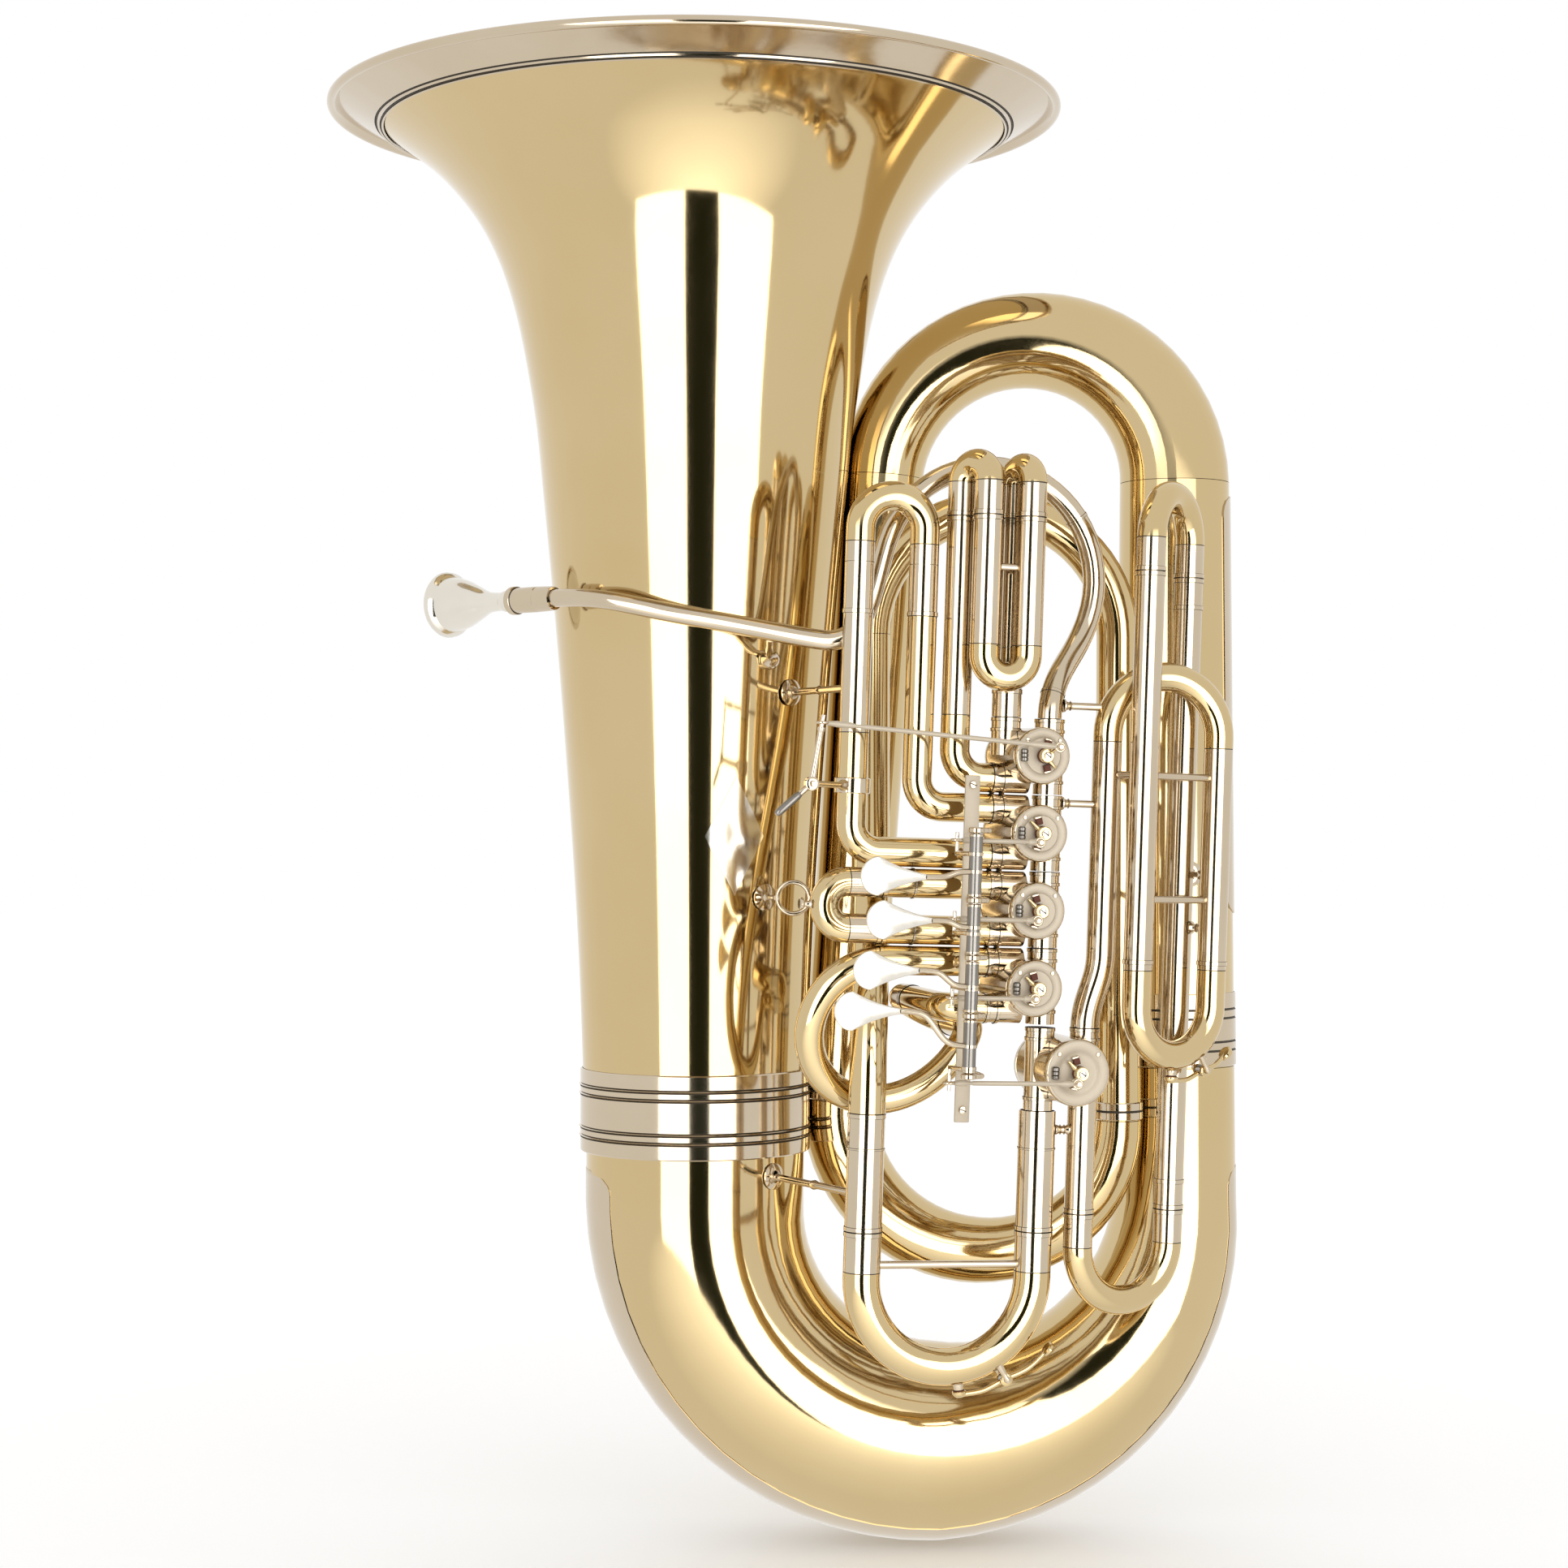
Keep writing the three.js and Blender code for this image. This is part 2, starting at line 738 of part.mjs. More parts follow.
// A thin strip on the outside of the conical tube.
function guardStrip(from, to, lift) {
  const rings = [];
  for (const distance of [from, ...conical.between(from, to), to]) {
    const { point, heading, side } = conical.at(distance);
    const across = heading.clone().cross(side);
    const inner = conicalRadiusAt(distance) + lift;
    const ring = [];
    for (const [radius, sign] of [[inner + guardThickness, 1], [inner, -1]]) {
      for (const share of guardStepShares) {
        const a = sign * guardHalfAngle * share;
        ring.push(point.clone()
          .addScaledVector(side, radius * Math.cos(a))
          .addScaledVector(across, radius * Math.sin(a)));
      }
    }
    rings.push(ring);
  }
  return loft(rings);
}

const guardFrom = marks.bowStart - guardOverrun;
const guardTo = marks.bowEnd + guardOverrun;
place(horn, 'bow_guard', guardStrip(guardFrom, guardTo, jointGap), nickel);

const branchBands = [
  [marks.branchStart + jointGap, marks.branchStart + branchBandLength],
];
const outerBranch = conicalPiece(marks.branchStart, marks.branchEnd - jointGap, branchBands);
const branchGuard = guardStrip(
  marks.branchEnd - branchGuardLength, marks.branchEnd - guardTip, -2 * jointGap,
);
place(horn, 'outer_branch', joined(carry(conical, outerBranch, bigSides), branchGuard), brass);

function conicalBand(start) {
  return [start, start + branchJointBandLength];
}

const topBow = conicalPiece(
  marks.branchEnd, marks.topBowEnd - jointGap,
  [conicalBand(marks.branchEnd + jointGap)],
);
place(horn, 'top_bow', carry(conical, topBow, branchSides), brass);

const innerBranch = conicalPiece(
  marks.topBowEnd, marks.innerBranchEnd - jointGap,
  [conicalBand(marks.innerBranchEnd - branchJointBandLength - 2 * jointGap)],
);
place(horn, 'inner_branch', carry(conical, innerBranch, branchSides), brass);

const secondBow = conicalPiece(marks.innerBranchEnd, marks.secondBowEnd - jointGap);
place(horn, 'second_bottom_bow', carry(conical, secondBow, branchSides), brass);

const secondTopBow = conicalPiece(
  marks.secondBowEnd, marks.secondTopBowEnd - jointGap,
  [conicalBand(marks.secondBowEnd + jointGap)],
);
place(horn, 'second_top_bow', carry(conical, secondTopBow, tubeSides), brass);

const tuningBranch = conicalPiece(
  marks.secondTopBowEnd, marks.tuningEnd,
  [conicalBand(marks.secondTopBowEnd + jointGap)],
);
place(horn, 'tuning_branch', carry(conical, tuningBranch, tubeSides), brass);

// Valve machine. Valve 5 is on top, then 1, 2 and 3, and 4 sits lower to the right.
const valves = [
  { number: 1, x: 0, z: 0 },
  { number: 2, x: 0, z: -valvePitch },
  { number: 3, x: 0, z: -2 * valvePitch },
  { number: 4, x: fourthValveX, z: -fourthValveDrop, large: true },
  { number: 5, x: 0, z: valvePitch },
];
for (const valve of valves) {
  valve.radius = valve.large ? fourthCasingRadius : casingRadius;
  valve.offset = valve.large ? fourthPortOffset : portOffset;
  valve.reach = valve.large ? fourthPortReach : portReach;
  valve.centre = v3(valve.x, 0, valve.z);
}
const [valve1, valve2, valve3, valve4, valve5] = valves;

// The ports of a valve as tubes with a start, a heading and a length. A column tube passes
// the valve from below to above; a loop port starts inside the casing.
function valvePorts(valve) {
  const { offset, reach } = valve;
  const column = (x) => ({ start: v3(x, 0, -reach), heading: up, length: 2 * reach });
  const port = (start, heading) => ({
    start: start.addScaledVector(heading, -casingWall), heading, length: reach + casingWall,
  });
  if (valve.number === 4) {
    return [column(-offset), column(offset)];
  }
  if (valve.number === 5) {
    return [column(offset), port(v3(-offset, 0, 0), up), port(v3(0, 0, -offset), left)];
  }
  return [column(offset), port(v3(0, 0, offset), left), port(v3(0, 0, -offset), left)];
}

const frontFace = -casingHalfDepth - plateThickness;
const backRoute = () => new Route(v3(0, frontFace, 0), back, up);

// A casing with its plates, port stubs and stop corks. Some ports go on as slide tubes.
function valveCasing(valve, tubeRoutes, stays) {
  const { radius } = valve;
  const cavity = radius - casingWall;
  const depth = 2 * casingHalfDepth + 2 * plateThickness;
  const route = backRoute().ahead(depth);
  const shell = carry(route, [
    [0, 0], [0, radius - plateThickness / 2], [plateThickness, radius],
    [depth - plateThickness, radius], [depth, radius - plateThickness], [depth, 0],
  ], casingSides);
  const room = carry(route, [
    [0, 0], [0, spindleRadius + spindleClearance],
    [plateThickness, spindleRadius + spindleClearance], [plateThickness, cavity],
    [depth - 2 * plateThickness, cavity], [depth - 2 * plateThickness, 0],
  ], casingSides);
  const ports = valvePorts(valve);
  const stubs = ports.map(({ start, heading, length }) => bar(
    start, start.clone().addScaledVector(heading, length), outerTubeRadius, tubeSides,
  ));
  const bores = ports.map(({ start, heading, length }) => {
    const inset = length > 2 * valve.reach - casingWall ? -casingWall : casingWall;
    return bar(
      start.clone().addScaledVector(heading, inset),
      start.clone().addScaledVector(heading, length + casingWall), innerLegRadius, smallSides,
    );
  });
  const corkTurn = rotorSwing + corkSetback;
  const corks = [1, -1].map((sign) => {
    const angle = Math.PI + sign * corkTurn - restOffset(valve);
    const out = wingLength - corkSize / 2;
    const block = new THREE.BoxGeometry(corkSize, corkHeight, corkSize);
    block.rotateY(-angle);
    const corkY = frontFace - corkHeight / 2 + jointGap;
    block.translate(out * Math.cos(angle), corkY, out * Math.sin(angle));
    return block;
  });
  const parts = [shell, ...stubs, ...corks];
  const holes = [room, ...bores];
  for (const part of [...parts, ...holes]) {
    part.translate(valve.x, 0, valve.z);
  }
  const tubes = tubeRoutes.map((makeRoute) => solidTube(makeRoute(0), outerTubeRadius));
  const ways = tubeRoutes.map((makeRoute) => solidTube(makeRoute(ringLength), outerTubeBore));
  return cut(joined(...parts, ...tubes, ...stays), ...holes, ...ways);
}

// The stop arm hangs below the spindle, and stands above it on the fifth valve.
function restOffset(valve) {
  return valve.number === 5 ? Math.PI : 0;
}

function armDirection(valve) {
  const angle = -Math.PI / 2 - rotorSwing + restOffset(valve);
  return v3(Math.cos(angle), 0, Math.sin(angle));
}

const hubFront = frontFace - hubGap - hubLength;
const rodY = frontFace - rodDistance;

function rotor(valve) {
  const body = (valve.radius - casingWall) * casingFlat - rotorClearance;
  const depth = 2 * casingHalfDepth - 2 * rotorClearance - plateThickness;
  const start = -casingHalfDepth + rotorClearance;
  const length = start + depth - hubFront;
  const route = new Route(v3(0, hubFront, 0), back, up).ahead(length);
  const plug = carry(route, [
    [0, 0], [0, hubRadius], [hubLength, hubRadius], [hubLength, spindleRadius],
    [start - hubFront, spindleRadius], [start - hubFront, body], [length, body], [length, 0],
  ], casingSides);
  const airways = [1, -1].map((sign) => bar(
    v3(sign * valve.offset, 0, -valve.radius), v3(sign * valve.offset, 0, valve.radius),
    innerLegRadius, smallSides,
  ));
  const direction = armDirection(valve);
  const armY = hubFront + armThickness / 2;
  const tip = direction.clone().multiplyScalar(stopArmRadius);
  const arm = bar(v3(0, armY, 0), tip.clone().setY(armY), armThickness / 2);
  const studStart = tip.clone().setY(hubFront + armThickness);
  const stud = bar(studStart, tip.clone().setY(rodY - eyeThickness), studRadius, smallSides);
  const wingWay = v3(direction.z, 0, -direction.x);
  const wingY = frontFace - corkHeight / 2 - jointGap;
  const wing = bar(
    v3(0, wingY, 0), wingWay.multiplyScalar(wingLength).setY(wingY), armThickness / 2 - jointGap,
  );
  return joined(cut(plug, ...airways), arm, stud, wing);
}

const loopStart = -portReach - jointGap;
const secondTubeEnd = secondSlideX + sleeveLength + jointGap;
const lowerTubeEnd = fourthLowerSlideHeight + sleeveLength + jointGap;
const thirdTubeEnd = thirdLegStart + thirdTubeLength;

// Ports of the second, third and fourth valve that go on as slide tubes.
const casingTubes = {
  2: [1, -1].map((sign) => (past) => new Route(
    v3(-portReach, 0, valve2.z + sign * portOffset), left, up,
  ).ahead(-portReach - secondTubeEnd + past)),
  3: [(past) => new Route(v3(-portReach, 0, valve3.z - portOffset), left, up)
    .ahead(-portReach - thirdElbowX - thirdElbowRadius)
    .turn(thirdElbowRadius, Math.PI / 2, back)
    .ahead(thirdTubeEnd - thirdElbowRadius + past)],
  4: [(past) => new Route(
    v3(valve4.x + fourthPortOffset, 0, valve4.z - fourthPortReach), down, right,
  ).ahead(valve4.z - fourthPortReach - lowerTubeEnd + past)],
};
const casingStays = {
  4: [bar(
    v3(valve4.x + fourthPortOffset - outerTubeBore, 0, lowerStayHeight),
    v3(valve4.x - fourthPortOffset + mainOuterRadius + seatGap, 0, lowerStayHeight), stayRadius,
  )],
};

for (const valve of valves) {
  const tubeRoutes = casingTubes[valve.number] ?? [];
  const stays = casingStays[valve.number] ?? [];
  place(machine, `valve_casing_${valve.number}`, valveCasing(valve, tubeRoutes, stays), nickel);
  const turnedPlug = rotor(valve);
  turnedPlug.translate(valve.x, 0, valve.z);
  place(machine, `rotor_${valve.number}`, turnedPlug, brass);
}

// Linkage: each rod has a close eye on its stop arm's stud and an open eye on the lever's pin.
const leverArm = stopArmRadius * Math.sin(rotorSwing) / Math.sin(leverSwing);
const leverHingeY = rodY - leverArm * (1 + Math.cos(leverSwing)) / 2;
const thumbSwing = Math.asin(stopArmRadius * Math.sin(rotorSwing) / thumbArm);

function eye(centre, axis, radius, bore, thickness) {
  const half = axis.clone().multiplyScalar(thickness / 2);
  const outer = bar(centre.clone().sub(half), centre.clone().add(half), radius, tubeSides);
  half.multiplyScalar(2);
  const inner = bar(centre.clone().sub(half), centre.clone().add(half), bore, smallSides);
  return { outer, inner };
}

function linkageRod(studEnd, leverEnd) {
  const studEye = eye(studEnd, back, eyeRadius, studRadius + eyeClearance, eyeThickness);
  const leverEye = eye(leverEnd, up, openEyeRadius, openEyeBore, eyeThickness);
  const body = joined(bar(studEnd, leverEnd, rodRadius), studEye.outer, leverEye.outer);
  return cut(body, studEye.inner, leverEye.inner);
}

function studPoint(valve) {
  return armDirection(valve).multiplyScalar(stopArmRadius).add(valve.centre).setY(rodY);
}

const leverPoints = valves.map((valve) => {
  const stud = studPoint(valve);
  if (valve.number === 5) {
    const rise = thumbPivotHeight + thumbArm * Math.cos(thumbSwing);
    return v3(thumbPivotX + thumbArm * Math.sin(thumbSwing), rodY, rise);
  }
  return v3(leverHingeX - leverArm * Math.sin(leverSwing), rodY, stud.z);
});

valves.forEach((valve, i) => {
  const rod = linkageRod(studPoint(valve), leverPoints[i]);
  place(machine, `linkage_rod_${valve.number}`, rod, nickel);
});

// Finger levers: a hub on the hinge rod, a touch for the finger and an arm that drives the rod.
const touchWay = v3(-Math.cos(touchAngle), -Math.sin(touchAngle), 0);

function teardrop() {
  const outline = new THREE.Shape();
  const round = touchLength - touchRadius;
  outline.moveTo(0, -touchNeck / 2);
  outline.quadraticCurveTo(round / 2, -touchNeck, round, -touchRadius);
  outline.absarc(round, 0, touchRadius, -Math.PI / 2, Math.PI / 2, false);
  outline.quadraticCurveTo(round / 2, touchNeck, 0, touchNeck / 2);
  const options = { depth: touchThickness, bevelEnabled: false, curveSegments: 5 };
  const plate = new THREE.ExtrudeGeometry(outline, options);
  plate.translate(0, 0, -touchThickness / 2);
  return plate.rotateX(Math.PI / 2);
}

function hingePoint(height) {
  return v3(leverHingeX, leverHingeY, height);
}

function hingeBar(from, to, radius) {
  return bar(hingePoint(from), hingePoint(to), radius, smallSides);
}

function fingerLever(i) {
  const driveRise = leverDriveRises[i];
  const hubTop = postHeights[i] - postKnobHalf - hubClearance;
  const hubBottom = postHeights[i + 1] + postKnobHalf + hubClearance;
  const middle = (hubTop + hubBottom) / 2;
  const hub = hingeBar(hubBottom, hubTop, leverHubRadius);
  const boreRadius = hingeRadius + hingeClearance;
  const bore = hingeBar(hubBottom - leverHubRadius, hubTop + leverHubRadius, boreRadius);
  const hinge = hingePoint(middle);
  const touchStart = hinge.clone().addScaledVector(touchWay, leverReaches[i] - touchLength);
  touchStart.z = middle + leverTouchRises[i];
  const armStart = hinge.clone().addScaledVector(touchWay, hingeRadius);
  armStart.z = middle + leverArmRises[i];
  const armEnd = touchStart.clone().addScaledVector(touchWay, touchNeck);
  const arm = bar(armStart, armEnd, leverArmRadius);
  const touch = teardrop();
  touch.rotateZ(Math.PI + touchAngle);
  touch.translate(touchStart.x, touchStart.y, touchStart.z);
  const rodEnd = leverPoints[i];
  const driveHeight = rodEnd.z + driveRise;
  const pinStart = v3(rodEnd.x, leverHingeY + leverArm * Math.cos(leverSwing), driveHeight);
  const driveStart = hinge.clone().setZ(driveHeight).lerp(pinStart, hingeRadius / leverArm);
  const drive = bar(driveStart, pinStart, driveArmThickness / 2);
  const pinEnd = rodEnd.z - Math.sign(driveRise) * pinPast;
  const pin = bar(pinStart, pinStart.clone().setZ(pinEnd), pinRadius, smallSides);
  return cut(joined(hub, arm, touch, drive, pin), bore);
}

leverReaches.forEach((_, i) => {
  place(machine, `finger_lever_${i + 1}`, fingerLever(i), nickel);
});

// Rail behind the levers, with posts that hold the hinge rod.
const hingeTop = postHeights[0] + postKnobHalf;
const hingeBottom = postHeights[postHeights.length - 1] - postKnobHalf;
const railBar = new THREE.BoxGeometry(railWidth, railThickness, railTop + railBottom);
railBar.translate(railX, -railDepth, (railTop - railBottom) / 2);
const posts = postHeights.flatMap((height) => {
  const corner = v3(railX, leverHingeY + postElbow, height);
  return [
    bar(v3(railX, -railDepth, height), corner, postRadius),
    bar(corner.clone().setY(corner.y + postRadius), hingePoint(height), postKnobHalf),
    hingeBar(height - postKnobHalf, height + postKnobHalf, leverHubRadius),
  ];
});
const footHeights = [valve1.z - portOffset, valve2.z - portOffset, valve3.z + portOffset];
const railFeet = footHeights.map((height) => bar(
  v3(railX, -railDepth, height), v3(railX, -outerTubeRadius - seatGap, height), railFootRadius,
));
const hingeHole = hingeBar(hingeBottom - postRadius, hingeTop + postRadius, hingeRadius + seatGap);
place(machine, 'lever_rail', cut(joined(railBar, ...posts, ...railFeet), hingeHole), nickel);
place(machine, 'lever_hinge_rod', hingeBar(hingeBottom, hingeTop, hingeRadius), nickel);

// Thumb lever of the fifth valve, on a bracket clamped round the first loop's tube.
const thumbPivot = v3(thumbPivotX, rodY, thumbPivotHeight);
const thumbWay = v3(Math.sin(thumbSwing), 0, Math.cos(thumbSwing));
const thumbTouchWay = v3(Math.cos(thumbTouchAngle), 0, Math.sin(thumbTouchAngle));

function alongY(point, from, to, radius) {
  const start = point.clone().addScaledVector(back, from);
  return bar(start, point.clone().addScaledVector(back, to), radius, smallSides);
}

const thumbHalf = thumbHubLength / 2;
const thumbHub = alongY(thumbPivot, -thumbHalf, thumbHalf, thumbHubRadius);
const thumbBore = alongY(thumbPivot, -thumbHubLength, thumbHubLength, thumbPinRadius + hingeClearance);
const thumbArmEnd = thumbPivot.clone().addScaledVector(thumbWay, thumbArm - eyeThickness);
const thumbPinEnd = thumbPivot.clone().addScaledVector(thumbWay, thumbArm + pinPast);
const thumbArmStart = thumbPivot.clone().addScaledVector(thumbWay, thumbPinRadius);
const thumbPadEnd = thumbPivot.clone().addScaledVector(thumbTouchWay, thumbTouchReach);
const thumbPadFrom = thumbPivot.clone().addScaledVector(thumbTouchWay, thumbPadStart);
const thumbStemFrom = thumbPivot.clone().addScaledVector(thumbTouchWay, thumbPinRadius);
const thumbLever = joined(
  thumbHub,
  bar(thumbArmStart, thumbArmEnd, leverArmRadius),
  bar(thumbArmEnd, thumbPinEnd, pinRadius, smallSides),
  bar(thumbStemFrom, thumbPadEnd, leverArmRadius),
  bar(thumbPadFrom, thumbPadEnd, thumbPadRadius, tubeSides),
);
place(machine, 'thumb_lever', cut(thumbLever, thumbBore), nickel);

const clampInner = outerTubeRadius + seatGap;
const clampOuter = clampInner + clampThickness;
const clamp = turned([
  [clampOuter, -clampHeight / 2], [clampOuter, clampHeight / 2],
  [clampInner, clampHeight / 2], [clampInner, -clampHeight / 2],
], branchSides);
clamp.translate(firstLeftX, 0, thumbPivotHeight);
const bracketEnd = thumbPivot.clone();
bracketEnd.y += thumbHalf + bracketGap + bracketArmRadius;
const clampCentre = v3(firstLeftX, 0, thumbPivotHeight);
const bracketWay = bracketEnd.clone().sub(clampCentre).normalize();
const bracketStart = clampCentre.clone()
  .addScaledVector(bracketWay, clampInner + clampThickness / 2);
const bracket = joined(
  clamp,
  bar(bracketStart, bracketEnd, bracketArmRadius),
  alongY(bracketEnd, 0, -thumbHubLength - 2 * bracketArmRadius, thumbPinRadius),
);
place(machine, 'thumb_lever_bracket', bracket, nickel);

// Slide tubing: a tube along a route, hollow, with a raised ring at its open ends.
function hollowTube(route, radius, bore, openEnds) {
  const { length } = route;
  const ring = radius + ringRise;
  const profile = openEnds.includes('start')
    ? [[0, ring], [ringLength, ring], [ringLength, radius]]
    : [[0, radius]];
  if (openEnds.includes('end')) {
    profile.push([length - ringLength, radius], [length - ringLength, ring], [length, ring]);
  } else {
    profile.push([length, radius]);
  }
  profile.push([length, bore], [0, bore]);
  return carry(route, profile, tubeSides);
}

// Stays soldered to a tube, with the tube's bore opened again through them.
function withStays(tube, route, bore, stays) {
  const end = route.length - ringLength;
  const opened = bore + boreRelief;
  const way = carry(route, [
    [ringLength, 0], [ringLength, opened], [end, opened], [end, 0],
  ], tubeSides);
  return cut(joined(tube, ...stays), way);
}

// A pull slide: inner legs, a sleeve on each and the bow between them.
function pullSlide({ start, heading, towards, span, extras = [], ...sizes }) {
  const { legs, sleeve, inner, bore, outer, straight } = sizes;
  const origin = start.clone().addScaledVector(heading, -legs);
  const side = heading.clone().cross(towards).normalize();
  const rise = legs + sleeve + straight;
  const route = new Route(origin, heading, side).ahead(rise);
  route.turn(span / 2, Math.PI, towards).ahead(rise);
  const { length } = route;
  const bow = carry(route, [
    [0, 0], [0, inner], [legs, inner], [legs, outer],
    [length - legs, outer], [length - legs, inner], [length, inner], [length, 0],
  ], tubeSides);
  const ways = [0, span].map((offset) => {
    const mouth = origin.clone().addScaledVector(towards, offset);
    return bar(
      mouth.clone().addScaledVector(heading, -ringLength),
      mouth.clone().addScaledVector(heading, legs + sleeve), bore, smallSides,
    );
  });
  return cut(joined(bow, ...extras), ...ways);
}

const loopSlide = {
  legs: innerLegLength,
  sleeve: sleeveLength,
  inner: innerLegRadius,
  bore: innerLegBore,
  outer: outerTubeRadius,
  straight: 0,
};

function loopTube(name, route, openEnds, stays = []) {
  const tube = hollowTube(route, outerTubeRadius, outerTubeBore, openEnds);
  const finished = stays.length > 0 ? withStays(tube, route, outerTubeBore, stays) : tube;
  place(machine, name, finished, nickel);
}

// A stay from a point of the machine to the outside of an upright tube of the horn, ending in
// a round foot just off its surface.
function footedStay(start, centre, radius, angle) {
  const out = v3(Math.cos(angle), Math.sin(angle), 0);
  const height = machine.localToWorld(start.clone()).z;
  const surface = v3(centre.x, centre.y, height).addScaledVector(out, radius + seatGap);
  const footEnd = machine.worldToLocal(surface.clone().addScaledVector(out, stayFlangeThickness));
  const footStart = machine.worldToLocal(surface.clone());
  const inward = footStart.clone().sub(footEnd).normalize();
  const barEnd = footEnd.clone().addScaledVector(inward, stayFlangeOverlap);
  return [bar(footStart, footEnd, stayFlangeRadius, tubeSides), bar(start, barEnd, stayRadius)];
}

// First loop, up beside the bell.
const bellCentre = v3(-bellOffset, 0, 0);
const firstTubeTop = firstSlideHeight - sleeveLength - jointGap;
const firstLeft = new Route(v3(loopStart, 0, -portOffset), left, up)
  .ahead(loopStart - firstLeftX - elbowRadius)
  .turn(elbowRadius, Math.PI / 2, up)
  .ahead(firstTubeTop + portOffset - elbowRadius);
const bellStayRadius = bellRadiusAt(machineZ + bellStayHeight + stayFlangeRadius) + seatGap;
loopTube('first_loop_left', firstLeft, ['end'], footedStay(
  v3(firstLeftX, 0, bellStayHeight), bellCentre, bellStayRadius, bellStayAngle,
));
const firstRight = new Route(v3(loopStart, 0, portOffset), left, up)
  .ahead(loopStart - firstRightX - elbowRadius)
  .turn(elbowRadius, Math.PI / 2, up)
  .ahead(firstTubeTop - portOffset - elbowRadius);
loopTube('first_loop_right', firstRight, ['end']);
place(machine, 'first_slide', pullSlide({
  ...loopSlide,
  start: v3(firstLeftX, 0, firstTubeTop + jointGap),
  heading: up,
  towards: right,
  span: firstRightX - firstLeftX,
}), brass);

// Second loop: a short slide that pulls left, with a knob.
const knobStart = v3(secondSlideX - portOffset - innerLegRadius, 0, valve2.z);
const knobNeck = knobStart.clone().addScaledVector(left, knobStemLength);
const knobEnd = knobNeck.clone().addScaledVector(left, knobHeadLength);
place(machine, 'second_slide', pullSlide({
  ...loopSlide,
  start: v3(secondTubeEnd - jointGap, 0, valve2.z - portOffset),
  heading: left,
  towards: up,
  span: 2 * portOffset,
  extras: [
    bar(knobStart, knobNeck, knobStemRadius), bar(knobNeck, knobEnd, knobHeadRadius, smallSides),
  ],
}), brass);

// Third loop: a ring that passes round the tuning branch, and a slide at the back.
const thirdLoop = new Route(v3(loopStart, 0, valve3.z + portOffset), left, up)
  .ahead(loopStart - thirdRingX)
  .turn(thirdRingRadius, Math.PI, down, -thirdRingSetback)
  .reach(
    v3(thirdLegX, thirdLegStart, thirdLegHeight), back,
    thirdRingRadius, thirdRingRadius / 2, longBendSteps,
  )
  .ahead(thirdTubeLength);
loopTube('third_loop', thirdLoop, ['end']);
const thirdAcross = v3(thirdLegX - thirdElbowX, 0, thirdLegHeight - valve3.z + portOffset);
place(machine, 'third_slide', pullSlide({
  ...loopSlide,
  legs: thirdLegs,
  sleeve: thirdSleeve,
  start: v3(thirdElbowX, thirdTubeEnd + jointGap, valve3.z - portOffset),
  heading: back,
  towards: thirdAcross.clone().normalize(),
  span: thirdAcross.length(),
}), brass);

// Water key on a bow: a seat, two lugs and a hinge pin on the bow, and the key itself.
function waterKey({ centre, across, bowRadius, tubeRadius, seat, hinge, touch }) {
  const axis = up.clone().cross(across).normalize();
  const surface = bowRadius + tubeRadius;
  const spot = (angle, radius, side = 0) => centre.clone()
    .addScaledVector(across, radius * Math.cos(angle))
    .addScaledVector(up, radius * Math.sin(angle))
    .addScaledVector(axis, side);
  const seatTop = surface + keyNippleHeight;
  const hingeRise = surface + keyHingeRise;
  const half = keyBarrelLength / 2;
  const lugSide = half + keyGap + keyLugRadius;
  const carrier = [
    bar(spot(seat, surface - tubeRadius), spot(seat, seatTop), keyNippleRadius, smallSides),
    bar(spot(hinge, hingeRise, -lugSide), spot(hinge, hingeRise, lugSide), keyLugRadius),
    ...[-lugSide, lugSide].map((side) => bar(
      spot(hinge, surface - keyNippleHeight, side), spot(hinge, hingeRise, side), keyLugRadius,
    )),
  ];
  const capBase = spot(seat, seatTop + keyGap);
  const capEnd = spot(seat, seatTop + keyGap + keyCapHeight);
  const capHead = spot(seat, seatTop + keyGap + keyCapHeight / 2);
  const pivot = spot(hinge, hingeRise);
  const tip = spot(touch, surface + keyTouchRise);
  const outward = tip.clone().sub(centre).normalize().multiplyScalar(keyBarRadius);
  const along = (reach, radius) => bar(
    spot(hinge, hingeRise, -reach), spot(hinge, hingeRise, reach), radius, smallSides,
  );
  const key = cut(
    joined(
      bar(capBase, capEnd, keyCapRadius, smallSides),
      bar(capHead, pivot, keyBarRadius),
      along(half, keyBarrelRadius + keyLugRadius),
      bar(pivot, tip, keyBarRadius),
      bar(tip.clone().sub(outward), tip.clone().add(outward), keyTouchRadius, smallSides),
    ),
    along(half + keyGap, keyLugRadius + hingeClearance),
  );
  return { carrier, key };
}

// Fourth loop: up, over, down, under and up again; then down behind and back to the valve.
const fourthBowAcross = v3(fourthFrontX - fourthFarX, fourthFrontY, 0);
const fourthUpperTop = fourthUpperSlideHeight - sleeveLength - jointGap;
const fourthOuter = new Route(
  v3(valve4.x + fourthPortOffset, 0, valve4.z + fourthPortReach + jointGap), up, right,
)
  .reach(
    v3(fourthRiserX, 0, fourthRiserStart), up, fourthRiserPull, fourthRiserPull, shortBendSteps,
  )
  .ahead(fourthTopBowHeight - fourthRiserStart)
  .turn((fourthFarX - fourthRiserX) / 2, Math.PI, right)
  .ahead(fourthTopBowHeight - fourthLowBowHeight)
  .turn(fourthBowAcross.length() / 2, Math.PI, fourthBowAcross)
  .ahead(fourthUpperTop - fourthLowBowHeight);
const fourthLegs = {
  riser: v3(fourthRiserX, 0, 0),
  front: v3(fourthFrontX, fourthFrontY, 0),
  far: v3(fourthFarX, 0, 0),
  back: v3(fourthBackX, fourthBackY, 0),
};

